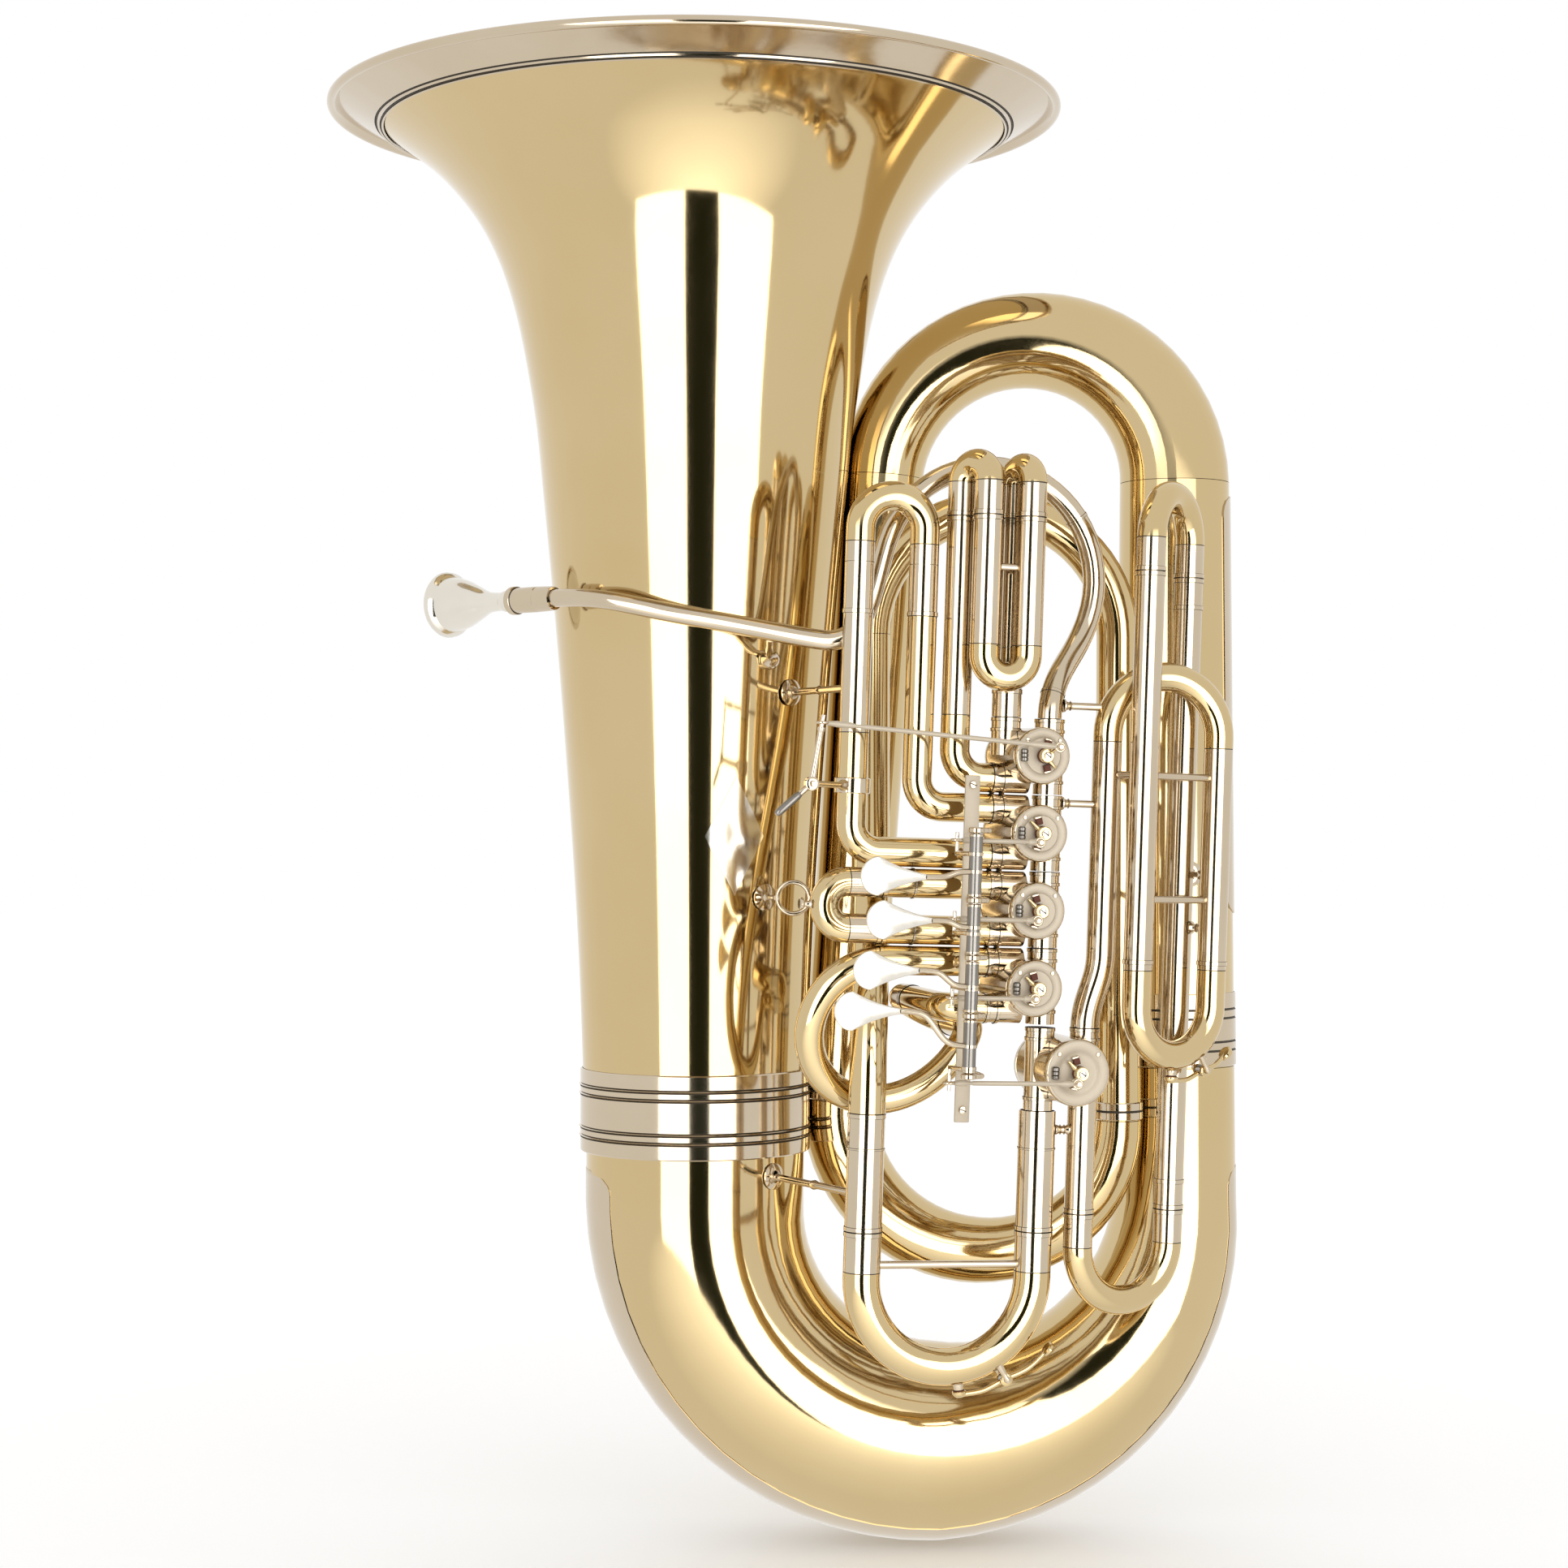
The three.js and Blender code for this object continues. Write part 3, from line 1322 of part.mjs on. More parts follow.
const fourthKey = waterKey({
  centre: fourthLegs.far.clone().add(fourthLegs.front).multiplyScalar(0.5).setZ(fourthLowBowHeight),
  across: fourthBowAcross.clone().normalize().negate(),
  bowRadius: fourthBowAcross.length() / 2,
  tubeRadius: outerTubeRadius,
  seat: -Math.PI / 2,
  hinge: keyHingeAngle,
  touch: keyTouchAngle,
});
place(machine, 'water_key_fourth', fourthKey.key, brass);

function crossStay(from, to, height, shorten = 0) {
  const end = to.clone().addScaledVector(to.clone().sub(from).normalize(), -shorten);
  return bar(from.clone().setZ(height), end.setZ(height), stayRadius);
}

const shortOfTube = outerTubeRadius + seatGap;
const valveStubs = v3(portOffset, 0, 0);
const farPoint = machine.localToWorld(fourthLegs.far.clone().setZ(branchStayHeight));
const branchCentre = v3(branchX, branchSetback, 0);
const branchStayAngle = Math.atan2(farPoint.y - branchSetback, farPoint.x - branchX);
const branchStayMark = marks.branchStart + farPoint.z - branchJointHeight;
loopTube('fourth_loop_outer', fourthOuter, ['end'], [
  ...fourthKey.carrier,
  crossStay(fourthLegs.riser, fourthLegs.front, fourthBraceHeights[0]),
  crossStay(fourthLegs.front, fourthLegs.far, fourthBraceHeights[0]),
  crossStay(fourthLegs.front, fourthLegs.far, fourthBraceHeights[1]),
  crossStay(fourthLegs.far, fourthLegs.back, fourthInnerStayHeight, shortOfTube),
  crossStay(fourthLegs.riser, valveStubs, riserStayHeight, shortOfTube),
  crossStay(
    fourthLegs.riser, valveStubs, leadpipeStayHeight, leadpipeStartRadius + leadpipeStayRoom,
  ),
  ...footedStay(
    fourthLegs.far.clone().setZ(branchStayHeight), branchCentre,
    conicalRadiusAt(branchStayMark) + seatGap, branchStayAngle,
  ),
]);
const fourthInner = new Route(fourthLegs.back.clone().setZ(fourthUpperTop), down, right)
  .ahead(fourthUpperTop - lowerTubeEnd);
loopTube('fourth_loop_inner', fourthInner, ['start', 'end']);
const upperAcross = fourthLegs.back.clone().sub(fourthLegs.front);
place(machine, 'fourth_slide_upper', pullSlide({
  ...loopSlide,
  start: fourthLegs.front.clone().setZ(fourthUpperTop + jointGap),
  heading: up,
  towards: upperAcross.clone().normalize(),
  span: upperAcross.length(),
}), brass);
const lowerLeft = v3(valve4.x + fourthPortOffset, 0, 0);
const lowerAcross = fourthLegs.back.clone().sub(lowerLeft);
place(machine, 'fourth_slide_lower', pullSlide({
  ...loopSlide,
  start: lowerLeft.clone().setZ(lowerTubeEnd - jointGap),
  heading: down,
  towards: lowerAcross.clone().normalize(),
  span: lowerAcross.length(),
}), brass);

// Fifth loop: three uprights over the column, joined by two pull bows at the top.
const fifthTubeTop = fifthTopHeight - sleeveLength - jointGap;
const fifthLowerPort = valve5.z - portOffset;
const fifthFrontSpan = fifthFrontRightX - fifthFrontLeftX;
loopTube('fifth_loop_left', new Route(v3(loopStart, 0, fifthLowerPort), left, up)
  .ahead(loopStart - fifthLeftX - elbowRadius)
  .turn(elbowRadius, Math.PI / 2, up)
  .ahead(fifthTubeTop - fifthLowerPort - elbowRadius), ['end']);
const fifthMiddle = new Route(v3(fifthFrontLeftX, fifthFrontY, fifthTubeTop), down, back)
  .ahead(fifthTubeTop - fifthLowHeight)
  .turn(fifthFrontSpan / 2, Math.PI, right)
  .ahead(fifthTubeTop - fifthLowHeight);
loopTube('fifth_loop_middle', fifthMiddle, ['start', 'end'], [crossStay(
  v3(fifthFrontLeftX, fifthFrontY, 0), v3(fifthFrontRightX, fifthFrontY, 0), fifthBraceHeight,
)]);
const fifthPortTop = valve5.z + portReach + jointGap;
loopTube('fifth_loop_right', new Route(v3(-portOffset, 0, fifthTubeTop), down, right)
  .ahead(fifthTubeTop - fifthPortTop), ['start']);

function fifthSlide(name, from, to) {
  const across = to.clone().sub(from);
  place(machine, name, pullSlide({
    ...loopSlide,
    start: from.clone().setZ(fifthTubeTop + jointGap),
    heading: up,
    towards: across.clone().normalize(),
    span: across.length(),
  }), brass);
}

fifthSlide('fifth_slide_left', v3(fifthLeftX, 0, 0), v3(fifthFrontLeftX, fifthFrontY, 0));
fifthSlide('fifth_slide_right', v3(fifthFrontRightX, fifthFrontY, 0), v3(-portOffset, 0, 0));

// Main tuning slide.
const mainRightX = valve4.x - fourthPortOffset;
const mainTubeEnd = mainTubeTop - mainTubeLength;
const mainSpan = mainRightX - mainLeftX;
const mainLeft = new Route(v3(mainLeftX, 0, mainTubeTop), down, right).ahead(mainTubeLength);
place(machine, 'tuning_slide_tube_left', withStays(
  hollowTube(mainLeft, mainOuterRadius, mainOuterBore, ['start', 'end']), mainLeft, mainOuterBore,
  footedStay(v3(mainLeftX, 0, bowStayHeight), bellCentre, bowStartRadius, bowStayAngle),
), nickel);
const mainRightTop = valve4.z - fourthPortReach - jointGap;
const mainRightRoute = new Route(v3(mainRightX, 0, mainRightTop), down, right)
  .ahead(mainRightTop - mainTubeEnd);
place(machine, 'tuning_slide_tube_right', hollowTube(
  mainRightRoute, mainOuterRadius, mainOuterBore, ['end'],
), nickel);
const mainBowHeight = mainTubeEnd - jointGap - mainSleeveLength - mainStraight;
const mainKey = waterKey({
  centre: v3((mainLeftX + mainRightX) / 2, 0, mainBowHeight),
  across: right,
  bowRadius: mainSpan / 2,
  tubeRadius: mainOuterRadius,
  seat: keySeatAngle,
  hinge: keyHingeAngle,
  touch: keyTouchAngle,
});
const mainBrace = crossStay(v3(mainLeftX, 0, 0), v3(mainRightX, 0, 0), mainBraceHeight);
place(machine, 'main_tuning_slide', pullSlide({
  legs: mainInnerLength,
  sleeve: mainSleeveLength,
  inner: mainInnerRadius,
  bore: mainInnerBore,
  outer: mainOuterRadius,
  straight: mainStraight,
  start: v3(mainLeftX, 0, mainTubeEnd - jointGap),
  heading: down,
  towards: right,
  span: mainSpan,
  extras: [mainBrace, ...mainKey.carrier],
}), brass);
place(machine, 'water_key_main', mainKey.key, brass);

// Leadpipe: up from the fifth valve, over the slides and across the front of the bell.
const toHorn = (x, y, z) => machine.localToWorld(v3(x, y, z));
const wayToHorn = (way) => way.clone().transformDirection(machine.matrixWorld);
const archPoint = (angle) => v3(
  archX + archRadius * Math.cos(angle), archY, archHeight + archRadius * Math.sin(angle),
);
const archStart = archPoint(archStartAngle);
const archWay = v3(-Math.sin(archStartAngle), 0, Math.cos(archStartAngle));
const archInward = v3(-Math.cos(archStartAngle), 0, -Math.sin(archStartAngle));
const passRadius = bellRadiusAt(bellPassHeight) + bellClearance + leadpipeStartRadius;
const receiverWay = v3(Math.cos(receiverAngle), Math.sin(receiverAngle), 0);
const receiverStart = v3(receiverX, receiverY, receiverZ);
const leadpipeRoute = new Route(toHorn(portOffset, 0, fifthPortTop), wayToHorn(up), wayToHorn(right))
  .reach(
    toHorn(archStart.x, archY, archStart.z), wayToHorn(archWay), archPull, archPull, shortBendSteps,
  )
  .turn(archRadius, archEndAngle - archStartAngle, wayToHorn(archInward), 0, bowStep)
  .reach(
    v3(bellPassX, -passRadius, bellPassHeight),
    v3(-Math.cos(bellPassRise), 0, Math.sin(bellPassRise)), bellPassPull, bellPassPull, longBendSteps,
  )
  .reach(receiverStart, receiverWay, receiverPull, receiverPull, shortBendSteps);
const leadpipeLength = leadpipeRoute.length;
leadpipeRoute.ahead(leadpipeInsertion);
const leadpipeTip = leadpipeRoute.length;
const leadpipe = carry(leadpipeRoute, [
  [0, leadpipeStartRadius], [leadpipeLength, leadpipeEndRadius], [leadpipeTip, leadpipeEndRadius],
  [leadpipeTip, leadpipeEndRadius - leadpipeWall], [0, leadpipeStartRadius - leadpipeWall],
], smallSides);
// A foot holds the pipe off the bell.
const { point: footTop } = leadpipeRoute.at(leadpipeLength - leadpipeFootSetback);
const footCentre = bellCentre.clone().setZ(footTop.z);
const footOut = footTop.clone().sub(footCentre).normalize();
const footBase = footCentre.clone()
  .addScaledVector(footOut, bellRadiusAt(footTop.z + leadpipeFootRadius) + seatGap);
const footFace = footBase.clone().addScaledVector(footOut, stayFlangeThickness);
const leadpipeWay = carry(leadpipeRoute, [
  [0, 0], [0, leadpipeEndRadius - leadpipeWall],
  [leadpipeTip, leadpipeEndRadius - leadpipeWall], [leadpipeTip, 0],
], smallSides);
place(horn, 'leadpipe', cut(
  joined(
    leadpipe, bar(footBase, footFace, leadpipeFootRadius, tubeSides),
    bar(footBase, footTop, stayRadius),
  ),
  leadpipeWay,
), nickel);

// Receiver and mouthpiece.
const receiverRoute = new Route(
  receiverStart.clone().addScaledVector(receiverWay, receiverGap), receiverWay, up,
).ahead(receiverLength);
const receiverBore = shankRadius + shankClearance;
const leadpipeSeat = leadpipeEndRadius + shankClearance;
const receiverStep = receiverLength - shankInsertion - shankRoom;
place(horn, 'mouthpiece_receiver', carry(receiverRoute, [
  [0, receiverRadius - receiverTaper],
  [receiverStep, receiverRadius],
  [receiverLength - receiverRimLength, receiverRadius],
  [receiverLength - receiverRimLength, receiverRimRadius],
  [receiverLength, receiverRimRadius],
  [receiverLength, receiverBore],
  [receiverStep, receiverBore],
  [receiverStep, leadpipeSeat],
  [0, leadpipeSeat],
], casingSides), nickel);

const mouthpieceStart = receiverRoute.end.point.clone().addScaledVector(receiverWay, -shankInsertion);
const mouthpieceRoute = new Route(mouthpieceStart, receiverWay, up).ahead(mouthpieceLength);
const mouthpieceShares = [
  [0, 0.27], [0.24, 0.293], [0.3, 0.31], [0.36, 0.27], [0.5, 0.32], [0.62, 0.5], [0.78, 0.74],
  [0.92, 0.86], [0.94, 0.97], [0.98, 1], [1, 0.93], [1, 0.78],
];
const cupShares = [[0.97, 0.72], [0.88, 0.66], [0.76, 0.5], [0.66, 0.22], [0.6, 0.17], [0, 0.2]];
place(horn, 'mouthpiece', carry(
  mouthpieceRoute,
  [...mouthpieceShares, ...cupShares].map(([along, out]) => [along * mouthpieceLength, out * cupRadius]),
  casingSides,
), nickel);

// Thumb ring on the bell, with its stem.
const ringDistance = bellRadiusAt(thumbRingHeight) + thumbRingStandoff;
const ringTurn = -Math.acos((thumbRingX + bellOffset) / ringDistance);
const ringCentre = v3(thumbRingX, ringDistance * Math.sin(ringTurn), thumbRingHeight);
const ringWire = new THREE.TorusGeometry(thumbRingRadius, thumbRingWire, barSides, casingSides);
ringWire.rotateX(Math.PI / 2);
ringWire.translate(ringCentre.x, ringCentre.y, ringCentre.z);
const stemStart = ringCentre.clone().setX(ringCentre.x - thumbRingRadius);
const stemTurn = Math.atan2(stemStart.y, stemStart.x + bellOffset);
const stemOut = v3(Math.cos(stemTurn), Math.sin(stemTurn), 0);
const stemEnd = v3(-bellOffset, 0, thumbRingHeight)
  .addScaledVector(stemOut, bellRadiusAt(thumbRingHeight + stayFlangeRadius) + seatGap);
const stemFoot = bar(
  stemEnd, stemEnd.clone().addScaledVector(stemOut, stayFlangeThickness), stayFlangeRadius, tubeSides,
);
place(horn, 'thumb_ring', joined(ringWire, bar(stemStart, stemEnd, thumbRingWire), stemFoot), nickel);

// Diamond plate on the bell.
const plateRows = plateRowShares.map((share) => {
  const height = plateHeight + share * plateHalfHeight;
  const half = Math.max(plateHalfWidth * (1 - Math.abs(share)), plateTip);
  const inner = bellRadiusAt(height) + 2 * seatGap;
  const row = [];
  for (const [radius, sign] of [[inner + plateSkin, 1], [inner, -1]]) {
    for (const step of plateStepShares) {
      const a = plateAngle + sign * (half / inner) * step;
      row.push(v3(-bellOffset + radius * Math.cos(a), radius * Math.sin(a), height));
    }
  }
  return row;
});
place(horn, 'bell_plate', loft(plateRows), nickel);

// The bow's lowest point stands on the origin.
horn.position.set(bellOffset - bellToBranch / 2, -branchSetback / 2, 0);

export default horn;
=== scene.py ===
"""Concert tuba with five rotary valves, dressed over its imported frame, laid out as an add-on.

Lengths are millimetres until a piece is finished; its mesh is then written in metres.
"""

from math import acos, asin, atan2, cos, hypot, pi, radians, sin

import bmesh
import bpy
from mathutils import Matrix, Vector


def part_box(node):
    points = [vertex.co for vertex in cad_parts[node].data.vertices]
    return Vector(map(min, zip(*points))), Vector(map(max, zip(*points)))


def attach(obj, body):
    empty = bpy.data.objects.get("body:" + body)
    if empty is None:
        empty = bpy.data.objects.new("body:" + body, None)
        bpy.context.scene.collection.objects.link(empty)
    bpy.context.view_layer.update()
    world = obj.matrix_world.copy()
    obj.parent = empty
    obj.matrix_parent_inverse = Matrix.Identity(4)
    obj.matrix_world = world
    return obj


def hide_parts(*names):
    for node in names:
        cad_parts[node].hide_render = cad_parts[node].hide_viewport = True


bl_info = {
    "name": "Rotary Tuba",
    "version": (1, 0, 0),
    "blender": (4, 5, 0),
    "location": "View3D > Sidebar > Tuba",
    "description": "Builds the smooth pieces, finishes and studio of a five-valve tuba",
    "category": "Object",
}

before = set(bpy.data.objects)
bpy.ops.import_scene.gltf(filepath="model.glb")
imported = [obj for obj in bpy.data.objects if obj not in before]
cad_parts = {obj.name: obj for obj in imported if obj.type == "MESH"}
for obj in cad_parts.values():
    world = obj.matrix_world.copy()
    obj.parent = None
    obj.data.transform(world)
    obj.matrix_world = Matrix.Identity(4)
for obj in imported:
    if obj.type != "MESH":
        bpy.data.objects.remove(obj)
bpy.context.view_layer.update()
MM = 0.001


def vec(x, y, z=0):
    return Vector((x, y, z))


def at_height(point, height):
    return vec(point.x, point.y, height)


UP, RIGHT, BACK = vec(0, 0, 1), vec(1, 0), vec(0, 1)
DOWN, LEFT, FRONT = vec(0, 0, -1), vec(-1, 0), vec(0, -1)

# The horn stands on its bottom bow. The valve machine is turned and leaned on it.
BELL_X, BELL_TO_BRANCH, BRANCH_SETBACK = -155, 335, 15
BELL_AXIS = vec(BELL_X, 0)
HORN = Matrix.Translation((-BELL_X - BELL_TO_BRANCH / 2, -BRANCH_SETBACK / 2, 0))
MACHINE_HEIGHT = 494
MACHINE = (
    Matrix.Translation((63.8, -125, MACHINE_HEIGHT))
    @ Matrix.Rotation(radians(1.9), 4, "Y") @ Matrix.Rotation(radians(15), 4, "Z")
)
MACHINE_TURN = MACHINE.to_3x3()
JOINT_GAP, SEAT_GAP = 0.4, 0.3

# Bell. The flare gives shares of its height and of its widening.
JOINT_HEIGHT = 302
RIM_WIRE_RADIUS, BELL_WALL, GARLAND_THICKNESS, FERRULE_LENGTH = 3.2, 0.8, 0.8, 57
BELL_SIDES = 160
BELL_FLARE = [
    (0, 0), (0.14, 0.02), (0.27, 0.05), (0.45, 0.105), (0.61, 0.165), (0.7, 0.205),
    (0.8, 0.285), (0.873, 0.4), (0.93, 0.575), (0.972, 0.79), (1, 1),
]

# Conical tube: its centreline, and its outside radius at each mark on it.
BRANCH_JOINT, TOP_BOW_HEIGHT, TOP_BOW_RADIUS, INNER_SETBACK = 331, 737, 102, 25
SECOND_BOW_X, SECOND_BOW_Z, SECOND_BOW_RADIUS, SECOND_FORWARD = 40.7, 297, 94.5, 72
SECOND_TOP_HEIGHT, SECOND_TOP_RADIUS, TUNING_FORWARD = 627, 85, 30
CONICAL_RADII = {
    "bell joint": 75.5, "bow start": 75.5, "bow middle": 68, "bow end": 42.5,
    "branch end": 38, "top bow end": 29, "inner branch end": 27, "second bow middle": 23,
    "second bow end": 16, "second branch end": 14.5, "second top bow end": 13, "tuning end": 12.1,
}
CONICAL_WALL, BAND_RISE = 0.9, 1.2
GUARD_ANGLE, GUARD_THICKNESS, GUARD_OVERRUN, GUARD_ROUNDING = radians(42), 1.2, 24, 14

# Valves: place, casing radius, port offset and port reach.
VALVES = {
    1: ((0, 0), 18.5, 15, 24.7), 2: ((0, -50), 18.5, 15, 24.7), 3: ((0, -100), 18.5, 15, 24.7),
    4: ((31, -154), 22, 15.5, 27), 5: ((0, 50), 18.5, 15, 24.7),
}
CASING_HALF, CASING_WALL, PLATE = 30, 2.7, 2.4
FACE = -CASING_HALF - PLATE
HUB_FRONT, ROD_Y = FACE - 1.2 - 7, FACE - 15
CORK_REACH = 8

# Linkage: the lever's drive arm follows from the stop arm and the two swings.
STOP_ARM, ROTOR_SWING, LEVER_SWING = 8, radians(45), radians(15)
LEVER_ARM = STOP_ARM * sin(ROTOR_SWING) / sin(LEVER_SWING)
HINGE_X, HINGE_Y = -56, ROD_Y - LEVER_ARM * (1 + cos(LEVER_SWING)) / 2
POSTS = [1, -43, -79, -115.5, -153.5]
THUMB_PIVOT, THUMB_ARM = vec(-158.4, ROD_Y, 26.8), 38.8
THUMB_SWING = asin(STOP_ARM * sin(ROTOR_SWING) / THUMB_ARM)
THUMB_WAY = vec(sin(THUMB_SWING), 0, cos(THUMB_SWING))
# Reach, rise of the arm and of the touch, and rise of the drive arm over the rod's end.
LEVERS = [(80, -4, -8, -8.3), (75, 1, 5, -8.3), (83, 0, 10, 7), (95, 0, 22, 10)]

# Slide tubes: bore, then outside and bore of the inner legs.
TUBE_BORE, LEG, MAIN_BORE, MAIN_LEG = 9.15, (8.6, 7.9), 11.4, (10.7, 9.9)
SLEEVE, LEG_LENGTH, ELBOW = 22, 62, 18
STAY_RADIUS = 2.4

# Places of the loops and slides on the machine.
PORT_END = -VALVES[1][3] - JOINT_GAP
VALVES_TOP = VALVES[5][0][1] + VALVES[5][3] + JOINT_GAP
VALVES_FOOT = VALVES[4][0][1] - VALVES[4][3] - JOINT_GAP
FIRST_LEFT, FIRST_RIGHT, FIRST_TOP = -118, -74.6, 193 - SLEEVE - JOINT_GAP
SECOND_SLIDE_X = -119
THIRD_ELBOW_X, THIRD_ELBOW, THIRD_END, THIRD_LEG = -50, 12, 74, vec(-22, 40, -129)
THIRD_Z = VALVES[3][0][1] - VALVES[3][2]
RISER, FRONT_TUBE, FAR_TUBE, BACK_TUBE = vec(56, 0), vec(74, -21), vec(134.8, 0), vec(118, 20.5)
FOURTH_TOP_BOW, FOURTH_LOW_BOW = 66.6, -111.4
FOURTH_TOP, FIFTH_TOP = 195.6 - SLEEVE - JOINT_GAP, 226 - SLEEVE - JOINT_GAP
FIFTH_LEFT, FIFTH_A, FIFTH_B, FIFTH_LOW = vec(-49.6, 0), vec(-38.6, -20.5), vec(-9.4, -20.5), 114.6
FIFTH_RIGHT = vec(-15, 0)
LOWER_END = -271 + SLEEVE + JOINT_GAP
MAIN_LEFT, MAIN_RIGHT, MAIN_TOP, MAIN_TUBE = -101, 15.5, -184, 76
MAIN_END = MAIN_TOP - MAIN_TUBE
MAIN_SLEEVE, MAIN_STRAIGHT = 26, 4

SIDES, SMALL_SIDES, STEP = 40, 20, radians(6)
# The seam finish is also painted shade in grooves and slots; the cork finish is also painted shade
# on the rotors' necks.
BRASS, NICKEL, SEAM_AND_SHADE, BRIGHT, CORK_AND_NECK_SHADE, DARK, SATIN = range(7)
FINISH_NAMES = (
    "lacquered_yellow_brass", "buffed_nickel_silver", "solder_seam_and_painted_shade",
    "mirror_nickel_touch", "pressed_cork_and_neck_shade", "spring_steel", "satin_nickel_face",
)
WHITE = (1, 1, 1, 1)


class Route:
    """A centreline of straight runs, turns and free bends, with a side that never twists."""

    def __init__(self, start, heading, side):
        self.samples = [(0.0, Vector(start), Vector(heading).normalized(), side.normalized())]

    @property
    def length(self):
        return self.samples[-1][0]

    def add(self, point, heading):
        distance, last, way, side = self.samples[-1]
        heading = heading.normalized()
        turned = way.rotation_difference(heading) @ side
        self.samples.append((distance + (point - last).length, point, heading, turned))

    def ahead(self, length):
        _, point, way, _ = self.samples[-1]
        self.add(point + way * length, way)
        return self

    def turn(self, radius, angle, towards, drift=0):
        """An arc towards one side, which may drift across its own plane."""
        _, point, way, _ = self.samples[-1]
        inward = (towards - way * towards.dot(way)).normalized()
        across = way.cross(inward)
        steps = max(4, round(angle / STEP))
        for i in range(1, steps + 1):
            a, phase = angle * i / steps, pi * i / steps
            self.add(
                point + way * (radius * sin(a)) + inward * (radius * (1 - cos(a)))
                + across * (drift * (1 - cos(phase)) / 2),
                way * cos(a) + inward * sin(a)
                + across * (drift * pi * sin(phase) / (2 * radius * angle)),
            )
        return self

    def reach(self, end, heading, pull_start, pull_end, steps=24):
        """A free bend to a point, with the pull of each end in millimetres."""
        _, a, way, _ = self.samples[-1]
        b, c = a + way * pull_start, end - heading.normalized() * pull_end
        for i in range(1, steps + 1):
            t = i / steps
            s = 1 - t
            self.add(
                a * s ** 3 + b * (3 * s * s * t) + c * (3 * s * t * t) + end * t ** 3,
                (b - a) * (s * s) + (c - b) * (2 * s * t) + (end - c) * (t * t),
            )
        return self

    def at(self, distance):
        """Point, heading and side at a distance along the line."""
        for a, b in zip(self.samples, self.samples[1:]):
            if b[0] >= distance:
                t = (distance - a[0]) / max(b[0] - a[0], 1e-9)
                return tuple(p.lerp(q, t) for p, q in zip(a[1:], b[1:]))
        return self.samples[-1][1:]

    def placing(self, distance, radius):
        """Matrix that puts a unit ring round the line."""
        point, way, side = self.at(distance)
        way = way.normalized()
        side = (side - way * side.dot(way)).normalized()
        turn = Matrix((side, way.cross(side), way)).transposed().to_4x4()
        return Matrix.Translation(point) @ turn @ Matrix.Scale(radius, 4)

    def between(self, start, end):
        inside = [s[0] for s in self.samples if (s[0] - start) * (s[0] - end) < -1e-9]
        return inside if start < end else inside[::-1]


def square_to(way):
    side = RIGHT if abs(way.normalized().z) > 0.5 else UP
    return (side - way * side.dot(way) / way.length_squared).normalized()


def tube_line(start, heading, length):
    return Route(start, heading, square_to(heading)).ahead(length)


def smooth_curve(points, steps):
    """Points on a smooth curve through the given ones."""
    made, last = [points[0]], len(points) - 1
    for i in range(last):
        p0, p1, p2, p3 = (points[min(max(i + k, 0), last)] for k in (-1, 0, 1, 2))
        for j in range(1, steps + 1):
            t = j / steps
            made.append(
                p1 + (p2 - p0) * (0.5 * t)
                + (p0 * 2 - p1 * 5 + p2 * 4 - p3) * (0.5 * t * t)
                + (p1 * 3 - p0 - p2 * 3 + p3) * (0.5 * t ** 3)
            )
    return made


